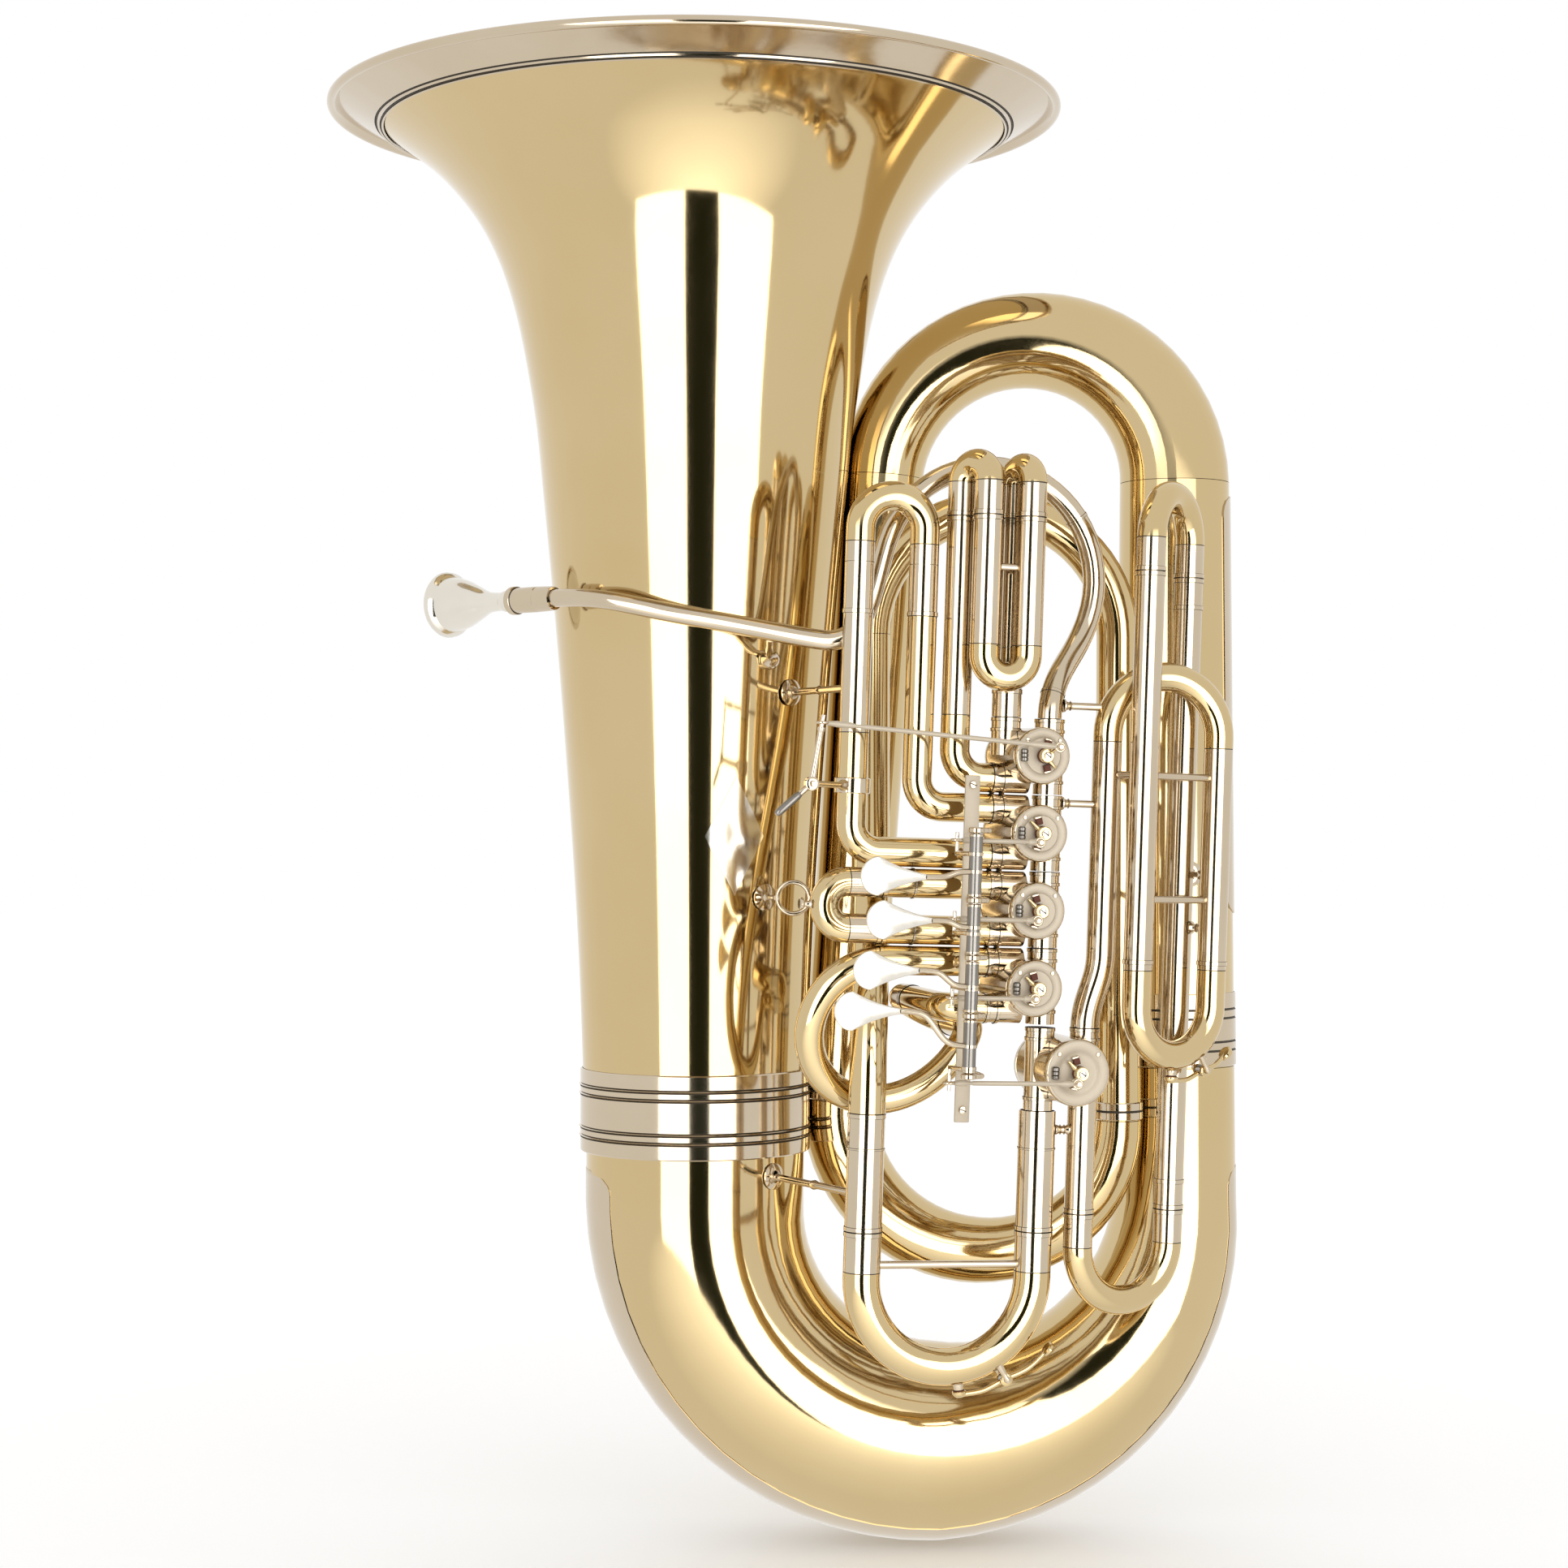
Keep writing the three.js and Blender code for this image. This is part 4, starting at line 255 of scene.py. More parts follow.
class Piece:
    """A mesh in the making, in the frame of the valve machine or of the horn."""

    def __init__(self, placing=MACHINE):
        self.bm = bmesh.new()
        self.placing = placing

    def sweep(self, route, stations, sides=SIDES, closed=False):
        """Rings carried along a route.

        A station is distance, radius and the finish up to it. Without one it keeps the last.
        """
        rings = [(*stations[0], NICKEL)[:3]]
        for station in stations[1:]:
            d0, r0, finish = rings[-1]
            d1, r1, finish = (*station, finish)[:3]
            for d in route.between(d0, d1):
                rings.append((d, r0 + (r1 - r0) * (d - d0) / (d1 - d0), finish))
            rings.append((d1, r1, finish))
        place = route.placing(rings[0][0], rings[0][1])
        made = bmesh.ops.create_circle(self.bm, segments=sides, radius=1, matrix=place)
        first = ring = list({e for v in made["verts"] for e in v.link_edges})
        for distance, radius, finish in rings[1:]:
            grown = bmesh.ops.extrude_edge_only(self.bm, edges=ring)["geom"]
            verts = [g for g in grown if isinstance(g, bmesh.types.BMVert)]
            ring = [
                g for g in grown
                if isinstance(g, bmesh.types.BMEdge) and len(g.link_faces) == 1
                and g.verts[0] in verts and g.verts[1] in verts
            ]
            last, place = place, route.placing(distance, radius)
            bmesh.ops.transform(self.bm, matrix=place @ last.inverted(), verts=verts)
            self.paint({f for v in verts for f in v.link_faces}, finish)
        if closed:
            self.paint(bmesh.ops.bridge_loops(self.bm, edges=first + ring)["faces"], rings[-1][2])
        else:
            for edges, finish in ((first, rings[0][2]), (ring, rings[-1][2])):
                self.paint(bmesh.ops.contextual_create(self.bm, geom=edges)["faces"], finish)
        return self

    def paint(self, faces, finish):
        for face in faces:
            face.material_index = finish

    def turned(self, start, end, profile, finish=NICKEL, sides=SMALL_SIDES):
        """A turned piece: shares of its length with radii."""
        start, way = Vector(start), Vector(end) - Vector(start)
        route = tube_line(start, way.normalized(), way.length)
        return self.sweep(route, [(s * way.length, r, finish) for s, r in profile], sides)

    def rod(self, start, end, radius, finish=NICKEL, sides=SMALL_SIDES, bevel=0.3):
        """A round bar with softened ends."""
        length = (Vector(end) - Vector(start)).length
        soft = min(bevel, radius / 2, length / 3)
        half = [
            (0, radius - soft), (soft * 0.3 / length, radius - soft * 0.3),
            (soft / length, radius),
        ]
        return self.turned(start, end, half + mirrored(half), finish, sides)

    def stay(self, start, end, radius=STAY_RADIUS, foot=5.2):
        """A round stay with a turned foot at each end and a bead beside each foot."""
        share = min(4 / (Vector(end) - Vector(start)).length, 0.3)
        half = [(s * share, r) for s, r in (
            (0, foot), (0.25, foot), (0.5, radius * 1.3), (1, radius), (1.2, radius * 1.4),
            (1.4, radius),
        )]
        return self.turned(start, end, half + mirrored(half))

    def bend(self, points, radius, finish=NICKEL):
        """A round bar bent smoothly through points."""
        ways = smooth_curve(points, 8)
        route = Route(ways[0], ways[1] - ways[0], square_to(ways[1] - ways[0]))
        for a, b in zip(ways[1:], ways[2:] + [ways[-1] * 2 - ways[-2]]):
            route.add(a, b - a)
        return self.sweep(route, [(0, radius, finish), (route.length, radius)], SMALL_SIDES)

    def ring(self, centre, axis, radius, wire):
        """A closed ring of round wire."""
        side = square_to(axis)
        route = Route(centre + side * radius, axis.cross(side), side)
        route.turn(radius, 2 * pi, -side)
        return self.sweep(route, [(0, wire), (route.length, wire)], SMALL_SIDES, True)

    def block(self, centre, size, finish=NICKEL, bevel=0.4, turn=0):
        """A block with softened edges."""
        place = Matrix.Translation(centre) @ Matrix.Rotation(turn, 4, "Y")
        place = place @ Matrix.Diagonal((*size, 1))
        made = bmesh.ops.create_cube(self.bm, size=1, matrix=place)
        edges = list({e for v in made["verts"] for e in v.link_edges})
        self.paint({f for e in edges for f in e.link_faces}, finish)
        self.soften(edges, bevel, 2)

    def soften(self, edges, offset, segments):
        bmesh.ops.bevel(
            self.bm, geom=edges, offset=offset, segments=segments, profile=0.5, affect="EDGES",
            material=-1,
        )

    def sheet(self, rows, columns, place, thickness, finish):
        """A thin sheet. Place gives the point for each pair of numbers from -1 to 1."""
        made = bmesh.ops.create_grid(self.bm, x_segments=rows, y_segments=columns, size=1)
        for vert in made["verts"]:
            vert.co = place(vert.co.x, vert.co.y)
        faces = list({f for v in made["verts"] for f in v.link_faces})
        self.paint(faces, finish)
        bmesh.ops.recalc_face_normals(self.bm, faces=faces)
        bmesh.ops.solidify(self.bm, geom=faces, thickness=thickness)

    def guard(self, rise, start, end, thickness):
        """A strip that lies on the outside of the conical tube, with rounded ends."""
        def place(along, round_it):
            distance = start + (along + 1) / 2 * (end - start)
            near = min(distance - start, end - distance, GUARD_ROUNDING)
            spread = 0.45 + 0.55 * (1 - (1 - near / GUARD_ROUNDING) ** 2) ** 0.5
            a = round_it * GUARD_ANGLE * spread
            return LINE.placing(distance, conical_radius(distance) + rise) @ vec(cos(a), sin(a))

        self.sheet(int((end - start) / 4), 16, place, thickness, NICKEL)
        return self

    def finish(self, node, body="horn", slot="nickel_silver"):
        """Writes the mesh as an object that rides on its body and stands for its node."""
        bm, name = self.bm, node + "_dressed"
        bmesh.ops.remove_doubles(bm, verts=bm.verts, dist=0.001)
        bmesh.ops.recalc_face_normals(bm, faces=bm.faces)
        bmesh.ops.transform(bm, matrix=Matrix.Scale(MM, 4) @ HORN @ self.placing, verts=bm.verts)
        mesh = bpy.data.meshes.new(name)
        bm.to_mesh(mesh)
        bm.free()
        mesh.shade_smooth()
        mesh.set_sharp_from_angle(angle=radians(38))
        for finish in FINISH_NAMES:
            mesh.materials.append(bpy.data.materials[finish])
        obj = bpy.data.objects.new(name, mesh)
        bpy.context.scene.collection.objects.link(obj)
        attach(obj, body)
        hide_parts(node)


def mirrored(profile):
    return [(1 - share, radius) for share, radius in profile[::-1]]


def hex_to_linear(code):
    """An sRGB hex colour as linear red, green, blue and alpha."""
    parts = [int(code[i:i + 2], 16) / 255 for i in (1, 3, 5)]
    return [c / 12.92 if c <= 0.04045 else ((c + 0.055) / 1.055) ** 2.4 for c in parts] + [1]


def add_node(tree, kind, inputs=None, **settings):
    """Adds a node. An input given as a socket is linked, and any other is set."""
    node = tree.nodes.new("ShaderNode" + kind)
    for key, value in settings.items():
        setattr(node, key, value)
    for key, value in (inputs or {}).items():
        if isinstance(value, bpy.types.NodeSocket):
            tree.links.new(value, node.inputs[key])
        else:
            node.inputs[key].default_value = value
    return node


def new_material(name):
    """A material with an empty node tree."""
    material = bpy.data.materials.new(name)
    material.use_nodes = True
    material.node_tree.nodes.clear()
    return material, material.node_tree


def object_place(tree):
    return add_node(tree, "TexCoord").outputs["Object"]


def noise(tree, place, size, **inputs):
    """Noise whose pattern is about size mm across."""
    inputs = {"Vector": place, "Scale": 1 / (size * MM), **inputs}
    return add_node(tree, "TexNoise", inputs).outputs["Fac"]


def mix(tree, factor, a, b):
    """A colour between two. A colour property is given without its alpha."""
    a, b = (c if len(c) == 4 else [*c, 1] for c in (a, b))
    node = add_node(tree, "Mix", {"Factor": factor, "A": a, "B": b}, data_type="RGBA")
    return node.outputs["Result"]


def metal(finish, colour, deep, roughness, streak, patch):
    """Polished metal: patch is the size in mm of its colour drift, streak of its buffing marks."""
    _, tree = new_material(FINISH_NAMES[finish])
    place = object_place(tree)
    drift = noise(tree, place, patch, Detail=3.0, Roughness=0.5)
    along = add_node(tree, "Mapping", {"Vector": place, "Scale": (1, 1, 0.06)})
    marks = noise(tree, along.outputs["Vector"], streak, Detail=4.0)
    gloss = add_node(tree, "MapRange", {
        "Value": marks, "To Min": roughness * 0.7, "To Max": roughness * 1.4,
    })
    relief = add_node(tree, "Bump", {"Height": marks, "Strength": 0.12, "Distance": 0.0001})
    shader = add_node(tree, "BsdfPrincipled", {
        "Base Color": mix(tree, drift, colour, deep), "Metallic": 1.0,
        "Roughness": gloss.outputs["Result"], "Normal": relief.outputs["Normal"],
    })
    add_node(tree, "OutputMaterial", {"Surface": shader.outputs["BSDF"]})


def solid(finish, colour, deep, roughness, grain, depth, metallic=0.0):
    """A dull material: grain is the size of its grain in mm and depth the grain's relief in mm."""
    _, tree = new_material(FINISH_NAMES[finish])
    cells = noise(tree, object_place(tree), grain, Detail=5.0, Roughness=0.7)
    relief = add_node(tree, "Bump", {"Height": cells, "Strength": 0.5, "Distance": depth * MM})
    shader = add_node(tree, "BsdfPrincipled", {
        "Base Color": mix(tree, cells, colour, deep), "Roughness": roughness,
        "Normal": relief.outputs["Normal"], "Metallic": metallic,
    })
    add_node(tree, "OutputMaterial", {"Surface": shader.outputs["BSDF"]})


def colour_property(name, description, code):
    return bpy.props.FloatVectorProperty(
        name=name, description=description, subtype="COLOR", size=3, min=0, max=1,
        default=hex_to_linear(code)[:3],
    )


def length_property(name, description, millimetres):
    return bpy.props.FloatProperty(
        name=name, description=description, default=millimetres * MM, min=0, unit="LENGTH",
        precision=4,
    )


class TubaBellSizes(bpy.types.PropertyGroup):
    rim_radius: length_property("Rim radius", "Middle of the rim wire from the bell's axis", 250)
    rim_height: length_property(
        "Rim height", "Top of the rim above the floor",
        round(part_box("bell_garland")[1].z, 3) / MM,
    )
    throat_radius: length_property("Throat radius", "Bell radius at the ferrule", 77)
    garland_width: length_property("Garland width", "Width of the nickel band at the rim", 36)
    plate_height: length_property(
        "Plate height", "Middle of the diamond plate above the floor", 491,
    )
    ring_radius: length_property("Thumb ring radius", "Middle of the thumb ring's wire", 10.6)


class TubaTubeSizes(bpy.types.PropertyGroup):
    slide_radius: length_property("Slide tube radius", "Outside of the valve slide tubes", 9.6)
    main_radius: length_property("Main tube radius", "Outside of the main tuning slide", 12.1)
    ring_width: length_property("Ring width", "Width of the rings on tube ends", 3)
    ring_rise: length_property("Ring rise", "How far the rings stand proud", 0.5)
    stay_radius: length_property("Stay radius", "Radius of the round stays", STAY_RADIUS)


class TubaLeverSizes(bpy.types.PropertyGroup):
    touch_length: length_property("Touch length", "Length of a finger touch", 51)
    touch_radius: length_property("Touch radius", "Radius of a finger touch's round end", 12.2)
    touch_thickness: length_property("Touch thickness", "Thickness of a finger touch", 2.4)
    arm_radius: length_property("Arm radius", "Radius of the lever arms", 1.9)


class TubaFinishes(bpy.types.PropertyGroup):
    brass: colour_property("Brass", "Yellow brass under clear lacquer", "#D2BD93")
    brass_deep: colour_property("Deep brass", "Brass where its colour is fuller", "#C9B07F")
    nickel: colour_property("Nickel silver", "Buffed nickel silver", "#CEC0AA")
    nickel_deep: colour_property(
        "Deep nickel silver", "Nickel silver where it is warmer", "#C4B399",
    )
    # The cork colour is also painted shade round the rotors' necks.
    cork: colour_property("Cork", "Stop corks", "#7A3F26")
    floor: colour_property("Floor", "Studio floor and background", "#FFFFFF")


class TubaStudio(bpy.types.PropertyGroup):
    camera_distance: length_property("Camera distance", "Camera in front of the bell's axis", 2100)
    camera_height: length_property("Camera height", "Camera above the floor", 512)
    panel_distance: length_property("Panel distance", "Light panels before the bell's axis", 1050)
    panel_strength: bpy.props.FloatProperty(
        name="Panel strength", description="Brightness of the two light panels", default=4.0, min=0,
    )


def mm(length):
    """A size property in millimetres."""
    return length / MM


class TubaOperator:
    """A build step that reads its sizes from the scene."""

    bl_options = {"REGISTER", "UNDO"}

    def execute(self, context):
        self.build(context.scene)
        return {"FINISHED"}


def seam(distance, radius, before, after):
    """A dark joint line round a tube."""
    return [
        (distance - 0.3, radius, before), (distance - 0.25, radius - 0.25, SEAM_AND_SHADE),
        (distance + 0.25, radius - 0.25), (distance + 0.3, radius),
        (distance + 0.3, radius, after),
    ]


def raised_ring(distance, width, radius, rise, before):
    """A raised nickel ring with softened edges and a dark line of painted shade at each side."""
    end = distance + width
    return [
        (distance, radius, before), (distance, radius + rise * 0.4, SEAM_AND_SHADE),
        (distance + 0.25, radius + rise), (end - 0.25, radius + rise, NICKEL),
        (end, radius + rise * 0.4, SEAM_AND_SHADE), (end, radius),
    ]


def dressed_tube(length, radius, bore, parts, rings, rise):
    """Stations of a hollow tube. Parts give where each finish ends, rings their place and width."""
    def finish_at(distance):
        return next((f for end, f in parts if distance < end), parts[-1][1])

    stations = [(0, radius, finish_at(0))]
    for distance, width in sorted([(end, 0) for end, _ in parts[:-1]] + list(rings)):
        before = finish_at(distance - 1)
        if width:
            stations += raised_ring(distance, width, radius, rise, before)
        else:
            stations += seam(distance, radius, before, finish_at(distance + 1))
    if stations[-1][0] < length:
        stations.append((length, radius, finish_at(length)))
    return stations + [(length, bore, NICKEL), (0, bore)]


def bell_points(sizes):
    """The bell's outside as smooth points of radius and height."""
    throat = mm(sizes.throat_radius)
    flare = mm(sizes.rim_radius) - RIM_WIRE_RADIUS - throat
    low = JOINT_HEIGHT + JOINT_GAP
    rise = mm(sizes.rim_height) - low
    points = [Vector((throat + flare * out, low + rise * up)) for up, out in BELL_FLARE]
    return smooth_curve(points, 12)


def bell_radius_at(height, sizes):
    points = bell_points(sizes)
    for a, b in zip(points, points[1:]):
        if b.y >= height:
            return a.x + (b.x - a.x) * (height - a.y) / (b.y - a.y)
    return points[-1].x


def pushed_out(points, offset):
    """A profile moved square to itself."""
    moved, last = [], len(points) - 1
    for i, p in enumerate(points):
        along = (points[min(i + 1, last)] - points[max(i - 1, 0)]).normalized()
        moved.append(Vector((p.x + along.y * offset, p.y - along.x * offset)))
    return moved


def point_along(points, distance):
    for a, b in zip(points, points[1:]):
        step = (b - a).length
        if distance <= step:
            return a.lerp(b, distance / step)
        distance -= step
    return points[-1]


class TUBA_OT_bell(TubaOperator, bpy.types.Operator):
    """Builds the bell, its garland with rim wire, and its ferrule"""

    bl_idname = "tuba.bell"
    bl_label = "Bell"

    def build(self, scene):
        sizes = scene.tuba_bell
        outside = bell_points(sizes)
        inside = pushed_out(outside, -BELL_WALL)[::-1]
        inside[0] = outside[-1] - Vector((BELL_WALL, 0))
        inside[-1] = outside[0] - Vector((BELL_WALL, 0))
        self.spin([(p.y, p.x, BRASS) for p in outside + inside], "bell", "lacquered_brass")
        self.garland(sizes, outside)
        self.ferrule(sizes)

    def spin(self, stations, node, slot="nickel_silver"):
        """A closed profile of height and radius, spun round the bell's axis."""
        line = Route(BELL_AXIS, UP, RIGHT).ahead(1100)
        Piece(Matrix()).sweep(line, stations, BELL_SIDES, True).finish(node, "horn", slot)

    def garland(self, sizes, outside):
        rim, top, wire = mm(sizes.rim_radius), mm(sizes.rim_height), RIM_WIRE_RADIUS
        band = [p for p in outside if p.x > rim - mm(sizes.garland_width)]
        low = SEAT_GAP + GARLAND_THICKNESS / 2
        skin, under = pushed_out(band, low + GARLAND_THICKNESS), pushed_out(band, low)
        stations = [(skin[0].y, skin[0].x)]
        # The dark lines in the garland's grooves are painted shade.
        for offset, dip, finish in (
            (1.2, 0, NICKEL), (1.6, -0.7, SEAM_AND_SHADE), (2.4, -0.7, SEAM_AND_SHADE), (2.8, 0, SEAM_AND_SHADE),
            (4.0, 0.8, NICKEL), (5.2, 0, NICKEL), (5.6, -0.7, SEAM_AND_SHADE), (6.4, -0.7, SEAM_AND_SHADE),
            (6.8, 0, SEAM_AND_SHADE),
        ):
            spot = point_along(skin, offset)
            way = (point_along(skin, offset + 0.5) - spot).normalized()
            stations.append((spot.y - way.x * dip, spot.x + way.y * dip, finish))
        start = stations[-1][1]
        stations += [(p.y, p.x, NICKEL) for p in skin if start < p.x < rim - wire - 1]
        for i in range(13):
            a = radians(-150 + i * 20)
            stations.append((top - wire + wire * sin(a), rim + wire * cos(a), NICKEL))
        stations.append((top, rim - wire + SEAT_GAP))
        self.spin(stations + [(p.y, p.x) for p in under[:-2][::-1]], "bell_garland")

    def ferrule(self, sizes):
        half = FERRULE_LENGTH / 2
        low, high = JOINT_HEIGHT - half, JOINT_HEIGHT + half
        inner = bell_radius_at(high, sizes) + SEAT_GAP
        outer = inner + 1.4
        stations = [(low, outer - 0.8), (low + 0.8, outer)]
        # The groove at each side of a bead is painted shade.
        for middle in (low + 11, low + 17, high - 17, high - 11):
            stations += [
                (middle - 1.4, outer, NICKEL), (middle - 0.9, outer - 0.5, SEAM_AND_SHADE),
                (middle, outer + 0.8, NICKEL), (middle + 0.9, outer - 0.5),
                (middle + 1.4, outer, SEAM_AND_SHADE),
            ]
        stations += [(high - 0.8, outer, NICKEL), (high, outer - 0.8), (high, inner), (low, inner)]
        self.spin(stations, "bell_ferrule")


class TUBA_OT_bell_fittings(TubaOperator, bpy.types.Operator):
    """Builds the diamond plate and the thumb ring on the bell"""

    bl_idname = "tuba.bell_fittings"
    bl_label = "Bell Plate and Thumb Ring"

    def build(self, scene):
        self.plate(scene.tuba_bell)
        self.thumb_ring(scene.tuba_bell)

    def plate(self, sizes):
        half_width, half_height, turn = 21, 39.5, radians(-70)

        def place(across, share):
            height = mm(sizes.plate_height) + share * half_height
            radius = bell_radius_at(height, sizes) + 2 * SEAT_GAP
            a = turn + across * max(half_width * (1 - abs(share)), 0.6) / radius
            return vec(BELL_X + radius * cos(a), radius * sin(a), height)

        piece = Piece(Matrix())
        piece.sheet(24, 40, place, 0.9, BRIGHT)
        # The plate's edge faces are given the seam brown as a painted shadow line round the plate.
        piece.bm.normal_update()
        for face in piece.bm.faces:
            out = face.calc_center_median() - BELL_AXIS
            out.z = 0
            if abs(face.normal.dot(out.normalized())) < 0.5:
                face.material_index = SEAM_AND_SHADE
        piece.finish("bell_plate")

    def thumb_ring(self, sizes):
        height, reach, across = 450, 22, -87
        distance = bell_radius_at(height, sizes) + reach
        centre = vec(across, -distance * sin(acos((across - BELL_X) / distance)), height)
        ring_radius = mm(sizes.ring_radius)
        stem = centre - RIGHT * ring_radius
        out = vec(stem.x - BELL_X, stem.y).normalized()
        foot = vec(BELL_X, 0, height) + out * (bell_radius_at(height + 9, sizes) + SEAT_GAP)
        Piece(Matrix()).ring(centre, BACK, ring_radius, 1.6).turned(foot, stem, [
            (0, 9), (0.06, 9), (0.1, 7.5), (0.16, 3), (0.3, 1.7), (0.8, 1.6), (0.92, 2.2), (1, 1.6),
        ]).finish("thumb_ring")


def main_line():
    """The conical centreline from the bell joint to the tuning slide, with its joints."""
    bow_radius = hypot(BELL_TO_BRANCH, BRANCH_SETBACK) / 2
    bow_height = bow_radius + CONICAL_RADII["bow middle"] + JOINT_GAP + GUARD_THICKNESS
    step_x = BELL_X + BELL_TO_BRANCH - TOP_BOW_RADIUS - SECOND_BOW_X
    step_z = TOP_BOW_HEIGHT - SECOND_BOW_Z
    slope, step = atan2(step_x, step_z), hypot(step_x, step_z)
    lean = slope + asin((SECOND_BOW_RADIUS - TOP_BOW_RADIUS) / step)
    route = Route((BELL_X, 0, JOINT_HEIGHT - JOINT_GAP), DOWN, LEFT)
    marks = {"bell joint": 0}
    marks["bow start"] = route.ahead(JOINT_HEIGHT - JOINT_GAP - bow_height).length
    marks["bow end"] = route.turn(bow_radius, pi, vec(BELL_TO_BRANCH, BRANCH_SETBACK)).length
    marks["bow middle"] = (marks["bow start"] + marks["bow end"]) / 2
    marks["branch start"] = route.ahead(BRANCH_JOINT - bow_height).length
    marks["branch end"] = route.ahead(TOP_BOW_HEIGHT - BRANCH_JOINT).length
    marks["top bow end"] = route.turn(TOP_BOW_RADIUS, pi - lean, LEFT, -INNER_SETBACK).length
    marks["inner branch end"] = route.ahead(step * cos(lean - slope)).length
    marks["second bow end"] = route.turn(SECOND_BOW_RADIUS, pi + lean, RIGHT, SECOND_FORWARD).length
    marks["second bow middle"] = (marks["inner branch end"] + route.length) / 2
    marks["second branch end"] = route.ahead(SECOND_TOP_HEIGHT - SECOND_BOW_Z).length
    marks["second top bow end"] = route.turn(SECOND_TOP_RADIUS, pi, LEFT, TUNING_FORWARD).length
    end = MACHINE @ vec(MAIN_LEFT, 0, MAIN_TOP + JOINT_GAP)
    marks["tuning end"] = route.reach(end, MACHINE_TURN @ DOWN, 130, 88, 30).length
    return route, marks


LINE, MARKS = main_line()


def conical_radius(distance):
    """Outside of the conical tube at a distance from the bell joint."""
    steps = sorted((MARKS[name], radius) for name, radius in CONICAL_RADII.items())
    for (d0, r0), (d1, r1) in zip(steps, steps[1:]):
        if distance <= d1:
            return r0 + (r1 - r0) * (distance - d0) / (d1 - d0)
    return steps[-1][1]


def conical_tube(start, end, band, sides):
    """A piece of the conical tube, with ring lines of painted shade on its nickel band where it has
    one, and painted shade at the band's edges.
    """
    inner = [start] + [MARKS[n] for n in CONICAL_RADII if start < MARKS[n] < end] + [end]
    stations = [(start, conical_radius(start), BRASS)]
    for distance in sorted([*inner[1:], *band]):
        radius = conical_radius(distance)
        if distance not in band:
            stations.append((distance, radius, BRASS))
        elif distance == band[0]:
            stations += [
                (distance, radius, BRASS), (distance, radius + 0.5, SEAM_AND_SHADE),
                (distance + 0.6, radius + BAND_RISE, NICKEL),
            ]
            width = band[1] - band[0]
            for share in (0.22, 0.34, 0.66, 0.78) if width > 20 else (0.5,):
                middle = distance + share * width
                outer = conical_radius(middle) + BAND_RISE
                stations += [
                    (middle - 0.8, outer, NICKEL), (middle - 0.4, outer - 0.5, SEAM_AND_SHADE),
                    (middle + 0.4, outer - 0.5), (middle + 0.8, outer),
                ]
        else:
            stations += [
                (distance - 0.6, radius + BAND_RISE, NICKEL), (distance, radius + 0.5),
                (distance, radius, SEAM_AND_SHADE),
            ]
    stations += [(d, conical_radius(d) - CONICAL_WALL, BRASS) for d in inner[::-1]]
    return Piece(Matrix()).sweep(LINE, stations, sides, True)


class TUBA_OT_bows(TubaOperator, bpy.types.Operator):
    """Builds the bows and branches of the conical tube with their guards"""

    bl_idname = "tuba.bows"
    bl_label = "Bows and Branches"

    def build(self, scene):
        m, gap, short = MARKS, JOINT_GAP, 12
        outer, inner, second = m["branch start"], m["inner branch end"], m["second bow end"]
        pieces = (
            ("bottom_bow", "bell joint", (), 72),
            ("outer_branch", "branch start", (outer + gap, outer + 51), 56),
            ("top_bow", "branch end", (), 56),
            ("inner_branch", "top bow end", (inner - short - 2 * gap, inner - 2 * gap), 48),
            ("second_bottom_bow", "inner branch end", (), 48),
            ("second_top_bow", "second bow end", (second + gap, second + gap + short), 40),
            ("tuning_branch", "second top bow end", (), 40),
        )
        ends = [m[start] - gap for _, start, _, _ in pieces[1:]] + [m["tuning end"]]
        for (name, start, band, sides), end in zip(pieces, ends):
            piece = conical_tube(m[start], end, band, sides)
            if name == "outer_branch":
                piece.guard(-0.2, m["branch end"] - 300, m["branch end"] - 10, 1.1)
            piece.finish(name, slot="lacquered_brass")
        Piece(Matrix()).guard(
            gap, m["bow start"] - GUARD_OVERRUN, m["bow end"] + GUARD_OVERRUN, GUARD_THICKNESS,
        ).finish("bow_guard")


def rest_turn(number):
    """The fifth valve's stop arm stands the other way up."""
    return pi if number == 5 else 0


def facing(angle):
    """A way across the valves' axes."""
    return vec(cos(angle), 0, sin(angle))


def arm_way(number):
    return facing(-pi / 2 - ROTOR_SWING + rest_turn(number))


def stud_point(number):
    """Where a linkage rod meets its stop arm."""
    (x, z), *_ = VALVES[number]
    return vec(x, ROD_Y, z) + arm_way(number) * STOP_ARM


def lever_end(number):
    """Where a linkage rod meets its lever."""
    if number == 5:
        return THUMB_PIVOT + THUMB_WAY * THUMB_ARM
    return vec(HINGE_X - LEVER_ARM * sin(LEVER_SWING), ROD_Y, stud_point(number).z)


def port_height(number, side):
    """Height of a valve's side port: the one above its middle with 1, below it with -1."""
    (_, z), _, offset, _ = VALVES[number]
    return z + side * offset


def valve_ports(number):
    """Ports as start, heading and length, from the middle of the valve."""
    _, _, offset, reach = VALVES[number]
    whole = (vec(offset, 0, -reach), UP, 2 * reach)
    if number == 4:
        return [whole, (vec(-offset, 0, -reach), UP, 2 * reach)]
    if number == 5:
        return [whole, (vec(-offset, 0), UP, reach), (vec(0, 0, -offset), LEFT, reach)]
    return [whole] + [(vec(0, 0, s * offset), LEFT, reach) for s in (1, -1)]


